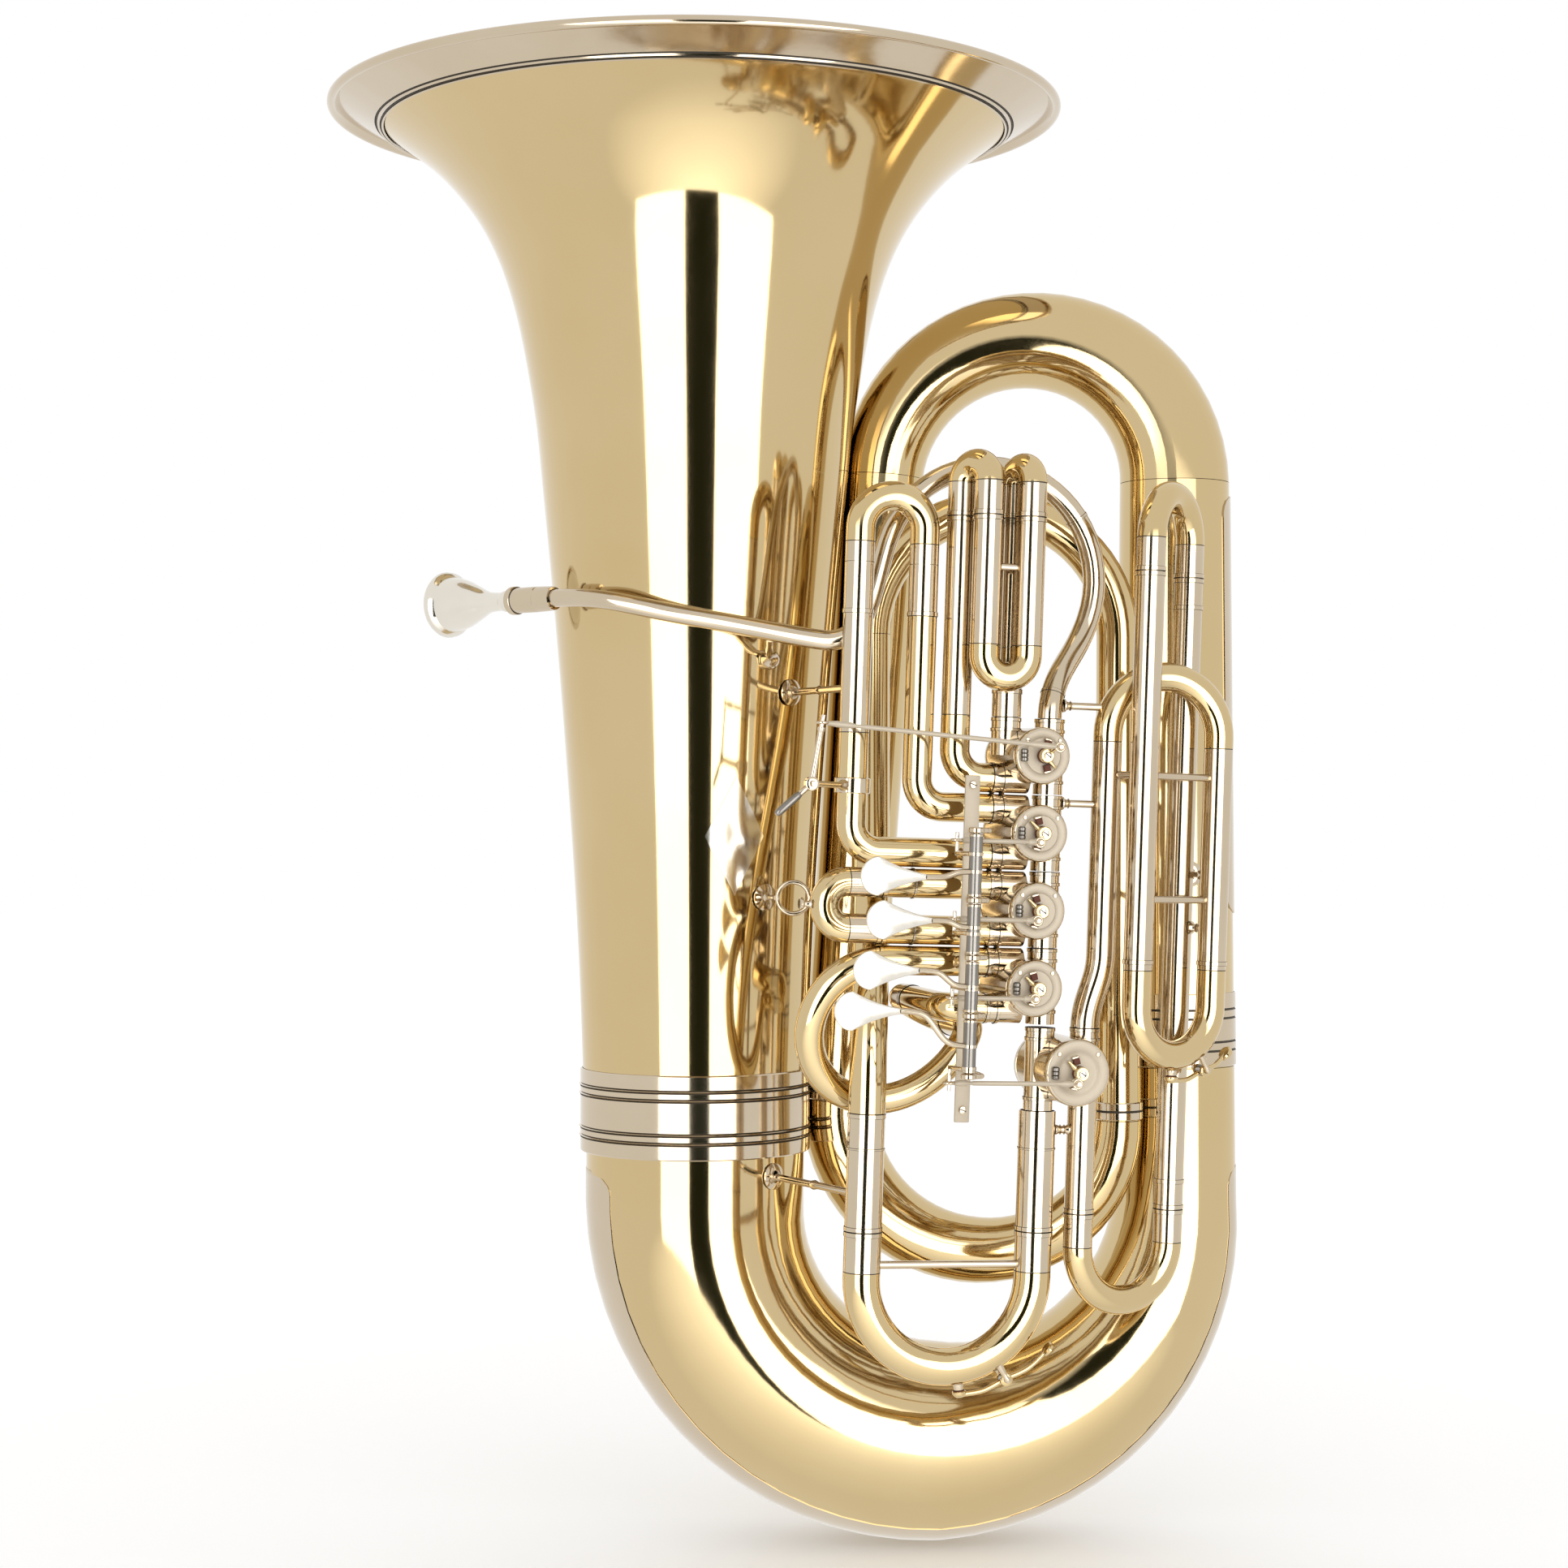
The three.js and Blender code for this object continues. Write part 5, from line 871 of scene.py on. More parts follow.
def valve_tubes(number):
    """Slide tubes that belong to a casing."""
    (x, z), _, offset, reach = VALVES[number]
    if number == 2:
        out = -reach - SECOND_SLIDE_X - SLEEVE - JOINT_GAP
        return [Route((-reach, 0, port_height(2, s)), LEFT, UP).ahead(out) for s in (1, -1)]
    if number == 3:
        return [
            Route((-reach, 0, THIRD_Z), LEFT, UP).ahead(-reach - THIRD_ELBOW_X - THIRD_ELBOW)
            .turn(THIRD_ELBOW, pi / 2, BACK).ahead(THIRD_END - THIRD_ELBOW)
        ]
    if number == 4:
        return [Route((x + offset, 0, z - reach), DOWN, RIGHT).ahead(z - reach - LOWER_END)]
    return []


class TUBA_OT_valves(TubaOperator, bpy.types.Operator):
    """Builds the five valve casings and the rotors with their stop arms"""

    bl_idname = "tuba.valves"
    bl_label = "Valves"

    def build(self, scene):
        for number in VALVES:
            self.casing(number, scene.tuba_tubes)
            self.rotor(number)

    def casing(self, number, tubes):
        (x, z), radius, offset, reach = VALVES[number]
        depth = 2 * CASING_HALF + 2 * PLATE
        # A knuckle shows from a little inside the casing's round wall.
        outer, knuckle = mm(tubes.slide_radius), reach - radius * 0.82
        # The two grooves round the casing are painted shade.
        piece = Piece().sweep(Route((0, FACE, 0), BACK, UP).ahead(depth), [
            (0.7, radius * 0.5, SATIN), (0.7, radius * 0.62), (0.1, radius * 0.66),
            (0, radius - 2.2), (0.3, radius - 1.2), (1.2, radius - 0.3, NICKEL), (2.4, radius),
            (4.6, radius), (4.9, radius - 0.7, SEAM_AND_SHADE), (5.5, radius - 0.7),
            (5.8, radius - 0.1, NICKEL), (depth - 6, radius - 0.1),
            (depth - 5.7, radius - 0.7, SEAM_AND_SHADE), (depth - 5.2, radius, NICKEL), (depth - 2, radius),
            (depth - 0.6, radius - 0.8), (depth, radius - 2.4), (depth, radius * 0.4),
            (depth - 0.8, radius * 0.36),
        ], 56)
        for start, heading, length in valve_ports(number):
            stations = [(0, outer)]
            if length > reach:
                stations += raised_ring(knuckle - 2.6, 2.2, outer, 0.7, NICKEL)
            stations += raised_ring(length - knuckle + 0.4, 2.2, outer, 0.7, NICKEL)
            stations += raised_ring(length - 2.4, 2.4, outer, 0.5, NICKEL)
            stations += [(length, outer - 0.8, SEAM_AND_SHADE), (length + 1, outer - 0.8)]
            piece.sweep(tube_line(start, heading, length), stations)
        self.stops(piece, number, radius)
        if number == 4:
            piece.stay(
                vec(offset - outer * 0.9, 0, -40), vec(12.4 - offset, 0, -40),
                mm(tubes.stay_radius), 3.4,
            )
        bmesh.ops.translate(piece.bm, vec=vec(x, 0, z), verts=piece.bm.verts)
        for route in valve_tubes(number):
            length = route.length
            rings = [(length - 3, 3)] + ([(length - 22, 1.6)] if number == 2 else [])
            # A little thinner than the knuckle, so that their end rings aren't merged.
            piece.sweep(route, dressed_tube(
                length, outer - 0.02, TUBE_BORE, [(length, NICKEL if number == 4 else BRASS)],
                rings, mm(tubes.ring_rise),
            ), SIDES, True)
        piece.finish(f"valve_casing_{number}")

    def stops(self, piece, number, radius):
        """The stop corks, two screws and the ribbed bumper on a valve's face."""
        for sign in (1, -1):
            a = pi + sign * (ROTOR_SWING + radians(30)) - rest_turn(number)
            spot = facing(a) * CORK_REACH + BACK * (FACE - 1.3)
            piece.block(spot, (4.2, 3.4, 4.2), CORK_AND_NECK_SHADE, 0.5, -a)
            piece.block(spot + facing(a) * 2.6 + BACK * 0.3, (1.2, 3.2, 5.4), NICKEL, 0.3, -a)
        for sign in (1, -1):
            spot = vec(sign * radius * 0.6, FACE, radius * 0.55)
            piece.rod(spot + BACK * 0.5, spot + FRONT * 0.9, 1.5, NICKEL, 16)
        # The bumper's hollows and rib sides are painted shade.
        bumper = [(0, 1.8, SEAM_AND_SHADE)]
        for rib in (0.4, 3, 5.6):
            bumper += [(rib, 2.4, SEAM_AND_SHADE), (rib + 1.8, 2.4, DARK), (rib + 2, 1.8, SEAM_AND_SHADE)]
        foot = vec(-radius * 0.735, FACE - 1.8, -4)
        piece.sweep(tube_line(foot, UP, 8), bumper + [(8, 1.8)], SMALL_SIDES)

    def rotor(self, number):
        (x, z), radius, *_ = VALVES[number]
        piece = Piece(MACHINE @ Matrix.Translation((x, 0, z)))
        body, start = radius - CASING_WALL - 1.4, -CASING_HALF + 0.5
        neck, length = start - HUB_FRONT, start + (2 * CASING_HALF - 1 - PLATE) - HUB_FRONT
        # The hub's groove, the cork-coloured collar from 5 to 7 mm and the dark neck behind it are
        # painted shade.
        piece.sweep(Route((0, HUB_FRONT, 0), BACK, UP).ahead(length), [
            (0, 2.9, BRASS), (0, 4.0), (0.6, 4.6), (2.2, 4.6), (2.5, 4.2, SEAM_AND_SHADE), (3, 4.6, BRASS),
            (5, 4.6), (5, 4.9, CORK_AND_NECK_SHADE), (6.8, 4.9), (7, 3.9), (neck, 4, SEAM_AND_SHADE), (neck, body, BRASS),
            (length, body),
        ], 32)
        face = BACK * HUB_FRONT
        piece.rod(face + BACK, face + FRONT * 1.4, 2.5, BRIGHT, 24, 0.5)
        # The screw's slot is a dark bar of painted shade.
        piece.block(face + FRONT * 1.35, (4.2, 0.4, 0.8), SEAM_AND_SHADE, 0.05, radians(35))
        way, arm = arm_way(number), BACK * (HUB_FRONT + 1.5)
        tip = way * STOP_ARM
        piece.bend([arm, way * 4 + arm, tip + arm], 1.7, BRASS)
        piece.turned(tip + BACK * (HUB_FRONT + 3), tip + BACK * (ROD_Y - 3), [
            (0, 2.4), (0.2, 2.4), (0.24, 1.5), (0.74, 1.5), (0.78, 2.3), (0.92, 2.3), (1, 1.4),
        ])
        root = BACK * (FACE - 2.1)
        piece.turned(root, root + vec(way.z, 0, -way.x) * 11, [
            (0, 2), (0.5, 1.7), (0.75, 1.1), (0.95, 1.1), (1, 0.7),
        ], BRASS)
        piece.finish(f"rotor_{number}", f"rotor_{number}", "lacquered_brass")


class TUBA_OT_linkage(TubaOperator, bpy.types.Operator):
    """Builds the linkage rods with their eyes and lock nuts"""

    bl_idname = "tuba.linkage"
    bl_label = "Linkage Rods"

    def build(self, scene):
        half = [(0, 1.3), (0.04, 2), (0.1, 2), (0.12, 1.2), (0.15, 1.2), (0.16, 1.5)]
        for number in VALVES:
            stud, pin, name = stud_point(number), lever_end(number), f"linkage_rod_{number}"
            way = (pin - stud).normalized()
            piece = Piece().turned(stud + way * 2.6, pin - way * 3.2, half + mirrored(half), SATIN)
            piece.ring(stud, BACK, 2.75, 0.9).ring(pin, UP, 3.25, 0.95).finish(name, name)


def collar(length, outer, bore, edge=0.8):
    """Stations of a hollow hub with softened edges."""
    return [
        (0, outer - edge), (0.5, outer), (length - 0.5, outer), (length, outer - edge),
        (length, bore), (0, bore),
    ]


class TUBA_OT_finger_levers(TubaOperator, bpy.types.Operator):
    """Builds the four finger levers, their rail with posts, and the hinge rod"""

    bl_idname = "tuba.finger_levers"
    bl_label = "Finger Levers"

    def build(self, scene):
        for i in range(len(LEVERS)):
            self.lever(i, scene.tuba_levers)
        self.rail()
        low, high = (vec(HINGE_X, HINGE_Y, z) for z in (POSTS[-1] - 1.7, POSTS[0] + 1.7))
        Piece().rod(low, high, 2, BRIGHT, 24, 0.6).finish("lever_hinge_rod")

    def lever(self, i, sizes):
        reach, arm_rise, touch_rise, drive_rise = LEVERS[i]
        top, bottom = POSTS[i] - 2.1, POSTS[i + 1] + 2.1
        middle, length = (top + bottom) / 2, top - bottom
        rod_end = lever_end(i + 1)
        drive_z = rod_end.z + drive_rise
        hub = [(0, 3.6), (0.5, 4.5), (1.8, 4.5), (1.8, 4.2, DARK)]
        for spot in sorted((arm_rise + middle - bottom, drive_z - bottom)):
            spot = min(max(spot, 3), length - 3)
            hub += [
                (spot - 1, 4.2, DARK), (spot - 1, 4.8, NICKEL), (spot + 1, 4.8), (spot + 1, 4.2),
            ]
        hub += [
            (length - 1.8, 4.2, DARK), (length - 1.8, 4.5, NICKEL), (length - 0.5, 4.5),
            (length, 3.6), (length, 2.25), (0, 2.25),
        ]
        piece = Piece().sweep(tube_line(vec(HINGE_X, HINGE_Y, bottom), UP, length), hub, 24, True)
        angle = radians(10)
        hinge, way = vec(HINGE_X, HINGE_Y, middle), -vec(cos(angle), sin(angle))
        start = at_height(hinge + way * (reach - mm(sizes.touch_length)), middle + touch_rise)
        arm = at_height(hinge + way * 2, middle + arm_rise)
        bends = [
            at_height(arm.lerp(start, share), arm.z + (start.z - arm.z) * climb)
            for share, climb in ((0.35, 0.15), (0.7, 0.85))
        ]
        piece.bend([arm, *bends, start, start + way * 6], mm(sizes.arm_radius))
        self.touch(piece, start, angle, sizes)
        pin = vec(rod_end.x, HINGE_Y + LEVER_ARM * cos(LEVER_SWING), drive_z)
        piece.rod(vec(HINGE_X, HINGE_Y, drive_z).lerp(pin, 2 / LEVER_ARM), pin, 1.5)
        pin_end = at_height(pin, rod_end.z - (5 if drive_rise > 0 else -5))
        piece.rod(pin - (pin_end - pin).normalized() * 1.4, pin_end, 1.2, BRIGHT)
        piece.finish(f"finger_lever_{i + 1}", f"finger_lever_{i + 1}")

    def touch(self, piece, start, angle, sizes):
        """A teardrop plate with softened edges, facing the player's fingers."""
        radius, thick = mm(sizes.touch_radius), mm(sizes.touch_thickness)
        run = mm(sizes.touch_length) - radius
        made = bmesh.ops.create_circle(piece.bm, segments=72, radius=1, cap_ends=True)
        for vert in made["verts"]:
            x, y = vert.co.x, vert.co.y
            if x < 0:
                t = 1 + x
                half = (1 - t) ** 2 * 1.3 + 2 * t * (1 - t) * 2.6 + t * t * radius
                vert.co = (run * t, half * (1 if y > 0 else -1 if y < 0 else 0), 0)
            else:
                vert.co = (run + radius * x, radius * y, 0)
        face = made["verts"][0].link_faces[0]
        face.material_index = BRIGHT
        grown = bmesh.ops.extrude_face_region(piece.bm, geom=[face], use_keep_orig=True)["geom"]
        lid = [g for g in grown if isinstance(g, bmesh.types.BMVert)]
        bmesh.ops.translate(piece.bm, vec=(0, 0, thick), verts=lid)
        piece.soften([
            e for e in {e for v in made["verts"] + lid for e in v.link_edges}
            if abs(e.verts[0].co.z - e.verts[1].co.z) < 0.01
        ], thick * 0.36, 3)
        touched = [
            v for v in piece.bm.verts if -0.01 <= v.co.z <= thick + 0.01
            and -14 < v.co.y < 14 and -1 < v.co.x < run + radius + 1
        ]
        piece.paint({f for v in touched for f in v.link_faces}, BRIGHT)
        place = (
            Matrix.Translation(start) @ Matrix.Rotation(pi + angle, 4, "Z")
            @ Matrix.Rotation(pi / 2, 4, "X") @ Matrix.Translation((0, 0, -thick / 2))
        )
        bmesh.ops.transform(piece.bm, matrix=place, verts=touched)

    def rail(self):
        piece = Piece()
        x, depth, low, high = -45, -25, -187, 36
        piece.block(vec(x, depth, (low + high) / 2), (10, 2.2, high - low), SATIN, 0.7)
        for z in (high - 6, low + 8):
            piece.rod(vec(x, depth - 0.5, z), vec(x, depth - 2.6, z), 2.6, NICKEL, 24, 0.5)
            # Each screw's slot is a dark bar of painted shade.
            piece.block(vec(x, depth - 2.6, z), (4.2, 0.3, 0.7), SEAM_AND_SHADE, 0.05, radians(20))
        for z in POSTS:
            hinge, corner = vec(HINGE_X, HINGE_Y, z), vec(x, HINGE_Y + 5, z)
            piece.bend([
                vec(x, depth, z), corner + BACK * 4, corner.lerp(hinge, 0.3), hinge + vec(4, 2),
            ], 1.8)
            post = tube_line(vec(HINGE_X, HINGE_Y, z - 1.7), UP, 3.4)
            piece.sweep(post, collar(3.4, 4.9, 2.3), 24, True)
        for z in (-15, -65, -85):
            piece.turned(vec(x, depth, z), vec(x, -9.9, z), [
                (0, 2.4), (0.6, 2.4), (0.8, 3), (0.94, 4.4), (1, 4.4),
            ])
        piece.finish("lever_rail")


class TUBA_OT_thumb_lever(TubaOperator, bpy.types.Operator):
    """Builds the thumb lever of the fifth valve and the bracket that carries it"""

    bl_idname = "tuba.thumb_lever"
    bl_label = "Thumb Lever"

    def build(self, scene):
        self.lever(mm(scene.tuba_levers.arm_radius))
        self.bracket(mm(scene.tuba_tubes.slide_radius) + SEAT_GAP)

    def lever(self, arm_radius):
        hub = Route(THUMB_PIVOT + FRONT * 3, BACK, UP).ahead(6)
        piece = Piece().sweep(hub, collar(6, 4.4, 2.05), 24, True)
        end = THUMB_PIVOT + THUMB_WAY * (THUMB_ARM - 3)
        piece.turned(THUMB_PIVOT + THUMB_WAY * 2.3, end, [
            (0, arm_radius * 1.3), (0.5, arm_radius), (0.92, arm_radius), (0.94, 2.4), (1, 2.4),
        ])
        piece.rod(end, THUMB_PIVOT + THUMB_WAY * (THUMB_ARM + 5), 1.2, BRIGHT)
        way = facing(radians(222))
        piece.rod(THUMB_PIVOT + way * 2.3, THUMB_PIVOT + way * 12, arm_radius)
        piece.turned(THUMB_PIVOT + way * 9, THUMB_PIVOT + way * 30, [
            (0, 1.6), (0.05, 2), (0.15, 2.5), (0.85, 2.5), (0.96, 2), (1, 1.2),
        ], DARK, 28)
        piece.finish("thumb_lever", "thumb_lever")

    def bracket(self, inner):
        centre = vec(FIRST_LEFT, 0, THUMB_PIVOT.z)
        clamp = tube_line(centre + DOWN * 5, UP, 10)
        piece = Piece().sweep(clamp, collar(10, inner + 1.8, inner, 0.5), SIDES, True)
        end = THUMB_PIVOT + BACK * 5.5
        piece.turned(centre + (end - centre).normalized() * (inner + 0.9), end, [
            (0, 3.6), (0.06, 3.6), (0.1, 2.6), (0.2, 2), (0.9, 2), (1, 2.6),
        ])
        piece.rod(end, end + FRONT * 10, 1.8).finish("thumb_lever_bracket")


def footed_stay(piece, start, centre, radius, angle):
    """A stay from the machine to the outside of an upright tube, with a round foot."""
    out = vec(cos(angle), sin(angle))
    surface = at_height(centre, (MACHINE @ start).z) + out * (radius + SEAT_GAP)
    inverse = MACHINE.inverted()
    foot_end, foot_start = inverse @ (surface + out * 2), inverse @ surface
    piece.turned(foot_start, foot_end, [(0, 9), (0.4, 9), (0.8, 7.2), (1, 4.5)], NICKEL, 28)
    length = (start - foot_end).length
    piece.turned(foot_start.lerp(foot_end, 0.5), start, [
        (0, 5), (min(0.3, 4 / length), 2.6), (min(0.36, 6 / length), STAY_RADIUS),
        (0.42, STAY_RADIUS), (0.46, 3.3), (0.5, STAY_RADIUS), (1, STAY_RADIUS),
    ])


class WaterKey:
    """A water key on a bow. Its places are angles round the bow and distances from its middle."""

    hinge, touch = radians(-58), radians(-34)

    def __init__(self, centre, span, tube, seat):
        self.centre, self.across, self.tube, self.seat = centre, span.normalized(), tube, seat
        self.axis = UP.cross(self.across).normalized()
        self.surface = span.length / 2 + tube
        self.rise = self.surface + 8.5

    def spot(self, angle, radius, side=0):
        return (
            self.centre + self.across * (radius * cos(angle)) + UP * (radius * sin(angle))
            + self.axis * side
        )

    def carrier(self, piece):
        """The nipple, the lugs and the pin that stay on the bow."""
        piece.turned(
            self.spot(self.seat, self.surface - self.tube), self.spot(self.seat, self.surface + 4),
            [(0, 3.4), (0.6, 3.4), (0.68, 5), (0.74, 3.6), (0.94, 3.4), (1, 3)],
        )
        pin = (self.spot(self.hinge, self.rise, side) for side in (-7.4, 7.4))
        piece.rod(*pin, 1.5)
        for side in (-6.4, 6.4):
            piece.turned(
                self.spot(self.hinge, self.surface - 4, side),
                self.spot(self.hinge, self.rise + 1, side),
                [(0, 2.6), (0.4, 2.2), (0.7, 1.5), (0.85, 2.2), (1, 1.6)],
            )

    def build(self, name):
        """The key itself: pad with its cork, arm, barrel with spring coils, and touch."""
        piece, top = Piece(), self.surface + 4.4
        pivot = self.spot(self.hinge, self.rise)
        tip = self.spot(self.touch, self.surface + 15)
        outward = (tip - self.centre).normalized() * 1.6
        piece.turned(self.spot(self.seat, top), self.spot(self.seat, top + 4.2), [
            (0, 4), (0.1, 4.6), (0.5, 4.6), (0.7, 4), (1, 2.6),
        ], BRASS, 28)
        cork = [(0, 3.8), (1, 3.8)]
        piece.turned(self.spot(self.seat, top - 0.3), self.spot(self.seat, top), cork, CORK_AND_NECK_SHADE, 28)
        between = self.spot(self.seat * 0.5 + self.hinge * 0.5, top + 4.2)
        piece.bend([self.spot(self.seat, top + 2.6), between, pivot], 1.6, BRASS)
        coils = [(0, 3.4, BRASS), (0.4, 4.1), (2, 4.1)]
        for k in range(5):
            coils += [(2.1 + k, 3.2, DARK), (2.6 + k, 3.8), (3.05 + k, 3.2)]
        coils += [(7.1, 4.1, BRASS), (8.6, 4.1), (9, 3.4), (9, 1.8), (0, 1.8)]
        barrel = Route(self.spot(self.hinge, self.rise, -4.5), self.axis, self.across).ahead(9)
        piece.sweep(barrel, coils, 24, True)
        middle = self.spot((self.hinge + self.touch) / 2, self.surface + 13)
        piece.bend([pivot, middle, tip], 1.6, BRASS)
        piece.turned(tip - outward, tip + outward, [(0, 4), (0.3, 5), (0.8, 5), (1, 4)], BRASS, 28)
        piece.finish(name, name, "lacquered_brass")


FOURTH_KEY = WaterKey(
    at_height((FAR_TUBE + FRONT_TUBE) / 2, FOURTH_LOW_BOW), FAR_TUBE - FRONT_TUBE, 9.6, -pi / 2,
)
MAIN_SPAN = RIGHT * (MAIN_RIGHT - MAIN_LEFT)
MAIN_BOW = MAIN_END - JOINT_GAP - MAIN_SLEEVE - MAIN_STRAIGHT
MAIN_KEY = WaterKey(
    vec((MAIN_LEFT + MAIN_RIGHT) / 2, 0, MAIN_BOW), MAIN_SPAN, 12.1, radians(-82),
)


class TUBA_OT_loops(TubaOperator, bpy.types.Operator):
    """Builds the fixed tubes of the five valve loops with their stays"""

    bl_idname = "tuba.loops"
    bl_label = "Valve Loops"

    def build(self, scene):
        self.tubes = scene.tuba_tubes
        self.first(scene.tuba_bell)
        self.third()
        self.fourth()
        self.fifth()

    def tube(self, route, parts, rings):
        """A loop tube. Returns the piece so that stays can join it."""
        width, rise = mm(self.tubes.ring_width), mm(self.tubes.ring_rise)
        return Piece().sweep(route, dressed_tube(
            route.length, mm(self.tubes.slide_radius), TUBE_BORE, parts,
            [(d, width) for d in rings], rise,
        ), SIDES, True)

    def first(self, bell):
        for side, x, height in (
            ("left", FIRST_LEFT, port_height(1, -1)), ("right", FIRST_RIGHT, port_height(1, 1)),
        ):
            route = Route((PORT_END, 0, height), LEFT, UP).ahead(PORT_END - x - ELBOW)
            rise = FIRST_TOP - height - ELBOW
            length = route.turn(ELBOW, pi / 2, UP).ahead(rise).length
            ring = length - 33
            if side == "left":
                piece = self.tube(route, [(length - rise + 58, BRASS), (length, NICKEL)], [ring, 6])
                radius = bell_radius_at(MACHINE_HEIGHT + 90 + 9, bell) + SEAT_GAP
                footed_stay(piece, vec(FIRST_LEFT, 0, 90), BELL_AXIS, radius, radians(-45))
            else:
                piece = self.tube(route, [(ring, BRASS), (length, NICKEL)], [ring])
            piece.finish("first_loop_" + side)

    def third(self):
        bow, bow_x, setback = 46.5, -91, 26
        route = Route((PORT_END, 0, port_height(3, 1)), LEFT, UP).ahead(PORT_END - bow_x)
        route.turn(bow, pi, DOWN, -setback).reach(THIRD_LEG, BACK, bow, bow / 2).ahead(34)
        self.tube(route, [(route.length, BRASS)], [route.length - 3]).finish("third_loop")

    def fourth(self):
        (x, z), _, offset, reach = VALVES[4]
        across = FRONT_TUBE - FAR_TUBE
        route = Route((x + offset, 0, z + reach + JOINT_GAP), UP, RIGHT)
        route.reach(at_height(RISER, -78), UP, 20, 20, 16)
        rise = route.ahead(FOURTH_TOP_BOW + 78).length
        down = route.turn((FAR_TUBE - RISER).length / 2, pi, RIGHT).length
        low = route.ahead(FOURTH_TOP_BOW - FOURTH_LOW_BOW).length
        up = route.turn(across.length / 2, pi, across).length
        length = route.ahead(FOURTH_TOP - FOURTH_LOW_BOW).length
        piece = self.tube(route, [
            (rise - 5, NICKEL), (down + 7, BRASS), (low - 24, NICKEL), (up + 24, BRASS),
            (length, NICKEL),
        ], [length - 3, low - 30, up + 28])
        stay, knuckle = mm(self.tubes.stay_radius), vec(15, 0)
        for a, b, height in (
            (RISER, FRONT_TUBE, 40), (FRONT_TUBE, FAR_TUBE, 40), (FRONT_TUBE, FAR_TUBE, -41),
        ):
            piece.stay(at_height(a, height), at_height(b, height), stay)
        for a, b, height, room in (
            (FAR_TUBE, BACK_TUBE, -60, 9.9), (RISER, knuckle, 20, 9.9), (RISER, knuckle, 84, 9.1),
        ):
            end = b + (a - b).normalized() * room
            piece.stay(at_height(a, height), at_height(end, height), stay, 4.4)
        start, branch = at_height(FAR_TUBE, -25), vec(BELL_X + BELL_TO_BRANCH, BRANCH_SETBACK)
        point = MACHINE @ start
        radius = conical_radius(MARKS["branch start"] + point.z - BRANCH_JOINT) + SEAT_GAP
        footed_stay(piece, start, branch, radius, atan2(point.y - branch.y, point.x - branch.x))
        FOURTH_KEY.carrier(piece)
        piece.finish("fourth_loop_outer")
        length = FOURTH_TOP - LOWER_END
        route = Route(at_height(BACK_TUBE, FOURTH_TOP), DOWN, RIGHT).ahead(length)
        rings = [0, 18, route.length - 20, route.length - 3]
        self.tube(route, [(route.length, NICKEL)], rings).finish("fourth_loop_inner")

    def fifth(self):
        height = port_height(5, -1)
        route = Route((PORT_END, 0, height), LEFT, UP).ahead(PORT_END - FIFTH_LEFT.x - ELBOW)
        bend = route.turn(ELBOW, pi / 2, UP).length
        length = route.ahead(FIFTH_TOP - height - ELBOW).length
        parts = [(bend + 22, BRASS), (length, NICKEL)]
        self.tube(route, parts, [length - 3]).finish("fifth_loop_left")
        route = Route(at_height(FIFTH_A, FIFTH_TOP), DOWN, BACK)
        down = route.ahead(FIFTH_TOP - FIFTH_LOW).length
        up = route.turn((FIFTH_B.x - FIFTH_A.x) / 2, pi, RIGHT).length
        length = route.ahead(FIFTH_TOP - FIFTH_LOW).length
        parts = [(down - 6, NICKEL), (up + 6, BRASS), (length, NICKEL)]
        self.tube(route, parts, [0, length - 3]).stay(
            at_height(FIFTH_A, 171), at_height(FIFTH_B, 171), STAY_RADIUS, 3.6,
        ).finish("fifth_loop_middle")
        route = Route(at_height(FIFTH_RIGHT, FIFTH_TOP), DOWN, RIGHT)
        length = route.ahead(FIFTH_TOP - VALVES_TOP).length
        self.tube(route, [(length, NICKEL)], [0, length - 18]).finish("fifth_loop_right")


def pull_slide(
    start, heading, across, tubes, legs=LEG_LENGTH, sleeve=SLEEVE, straight=0, brass=0, wide=False,
):
    """A pull slide: nickel legs and sleeves, and a brass bow that reaches some way down them."""
    outer = mm(tubes.main_radius if wide else tubes.slide_radius)
    inner, bore = MAIN_LEG if wide else LEG
    towards, run = across.normalized(), legs + sleeve + straight
    route = Route(start - heading * legs, heading, heading.cross(towards).normalized())
    length = route.ahead(run).turn(across.length / 2, pi, towards).ahead(run).length
    rise, width = mm(tubes.ring_rise), mm(tubes.ring_width)
    if brass:
        first, last = [(legs, outer, SEAM_AND_SHADE)], [(length - legs, outer, NICKEL)]
    else:
        first = raised_ring(legs, width, outer, rise, SEAM_AND_SHADE)
        last = raised_ring(length - legs - width, width, outer, rise, NICKEL)
    joint = legs + sleeve - brass
    return Piece().sweep(route, [
        (0, inner - 0.3), (0.3, inner), (legs, inner), *first,
        *seam(joint, outer, NICKEL, BRASS), *seam(length - joint, outer, BRASS, NICKEL), *last,
        (length - legs, inner, SEAM_AND_SHADE), (length - 0.3, inner, NICKEL), (length, inner - 0.3),
        (length, bore), (0, bore),
    ], SIDES, True)


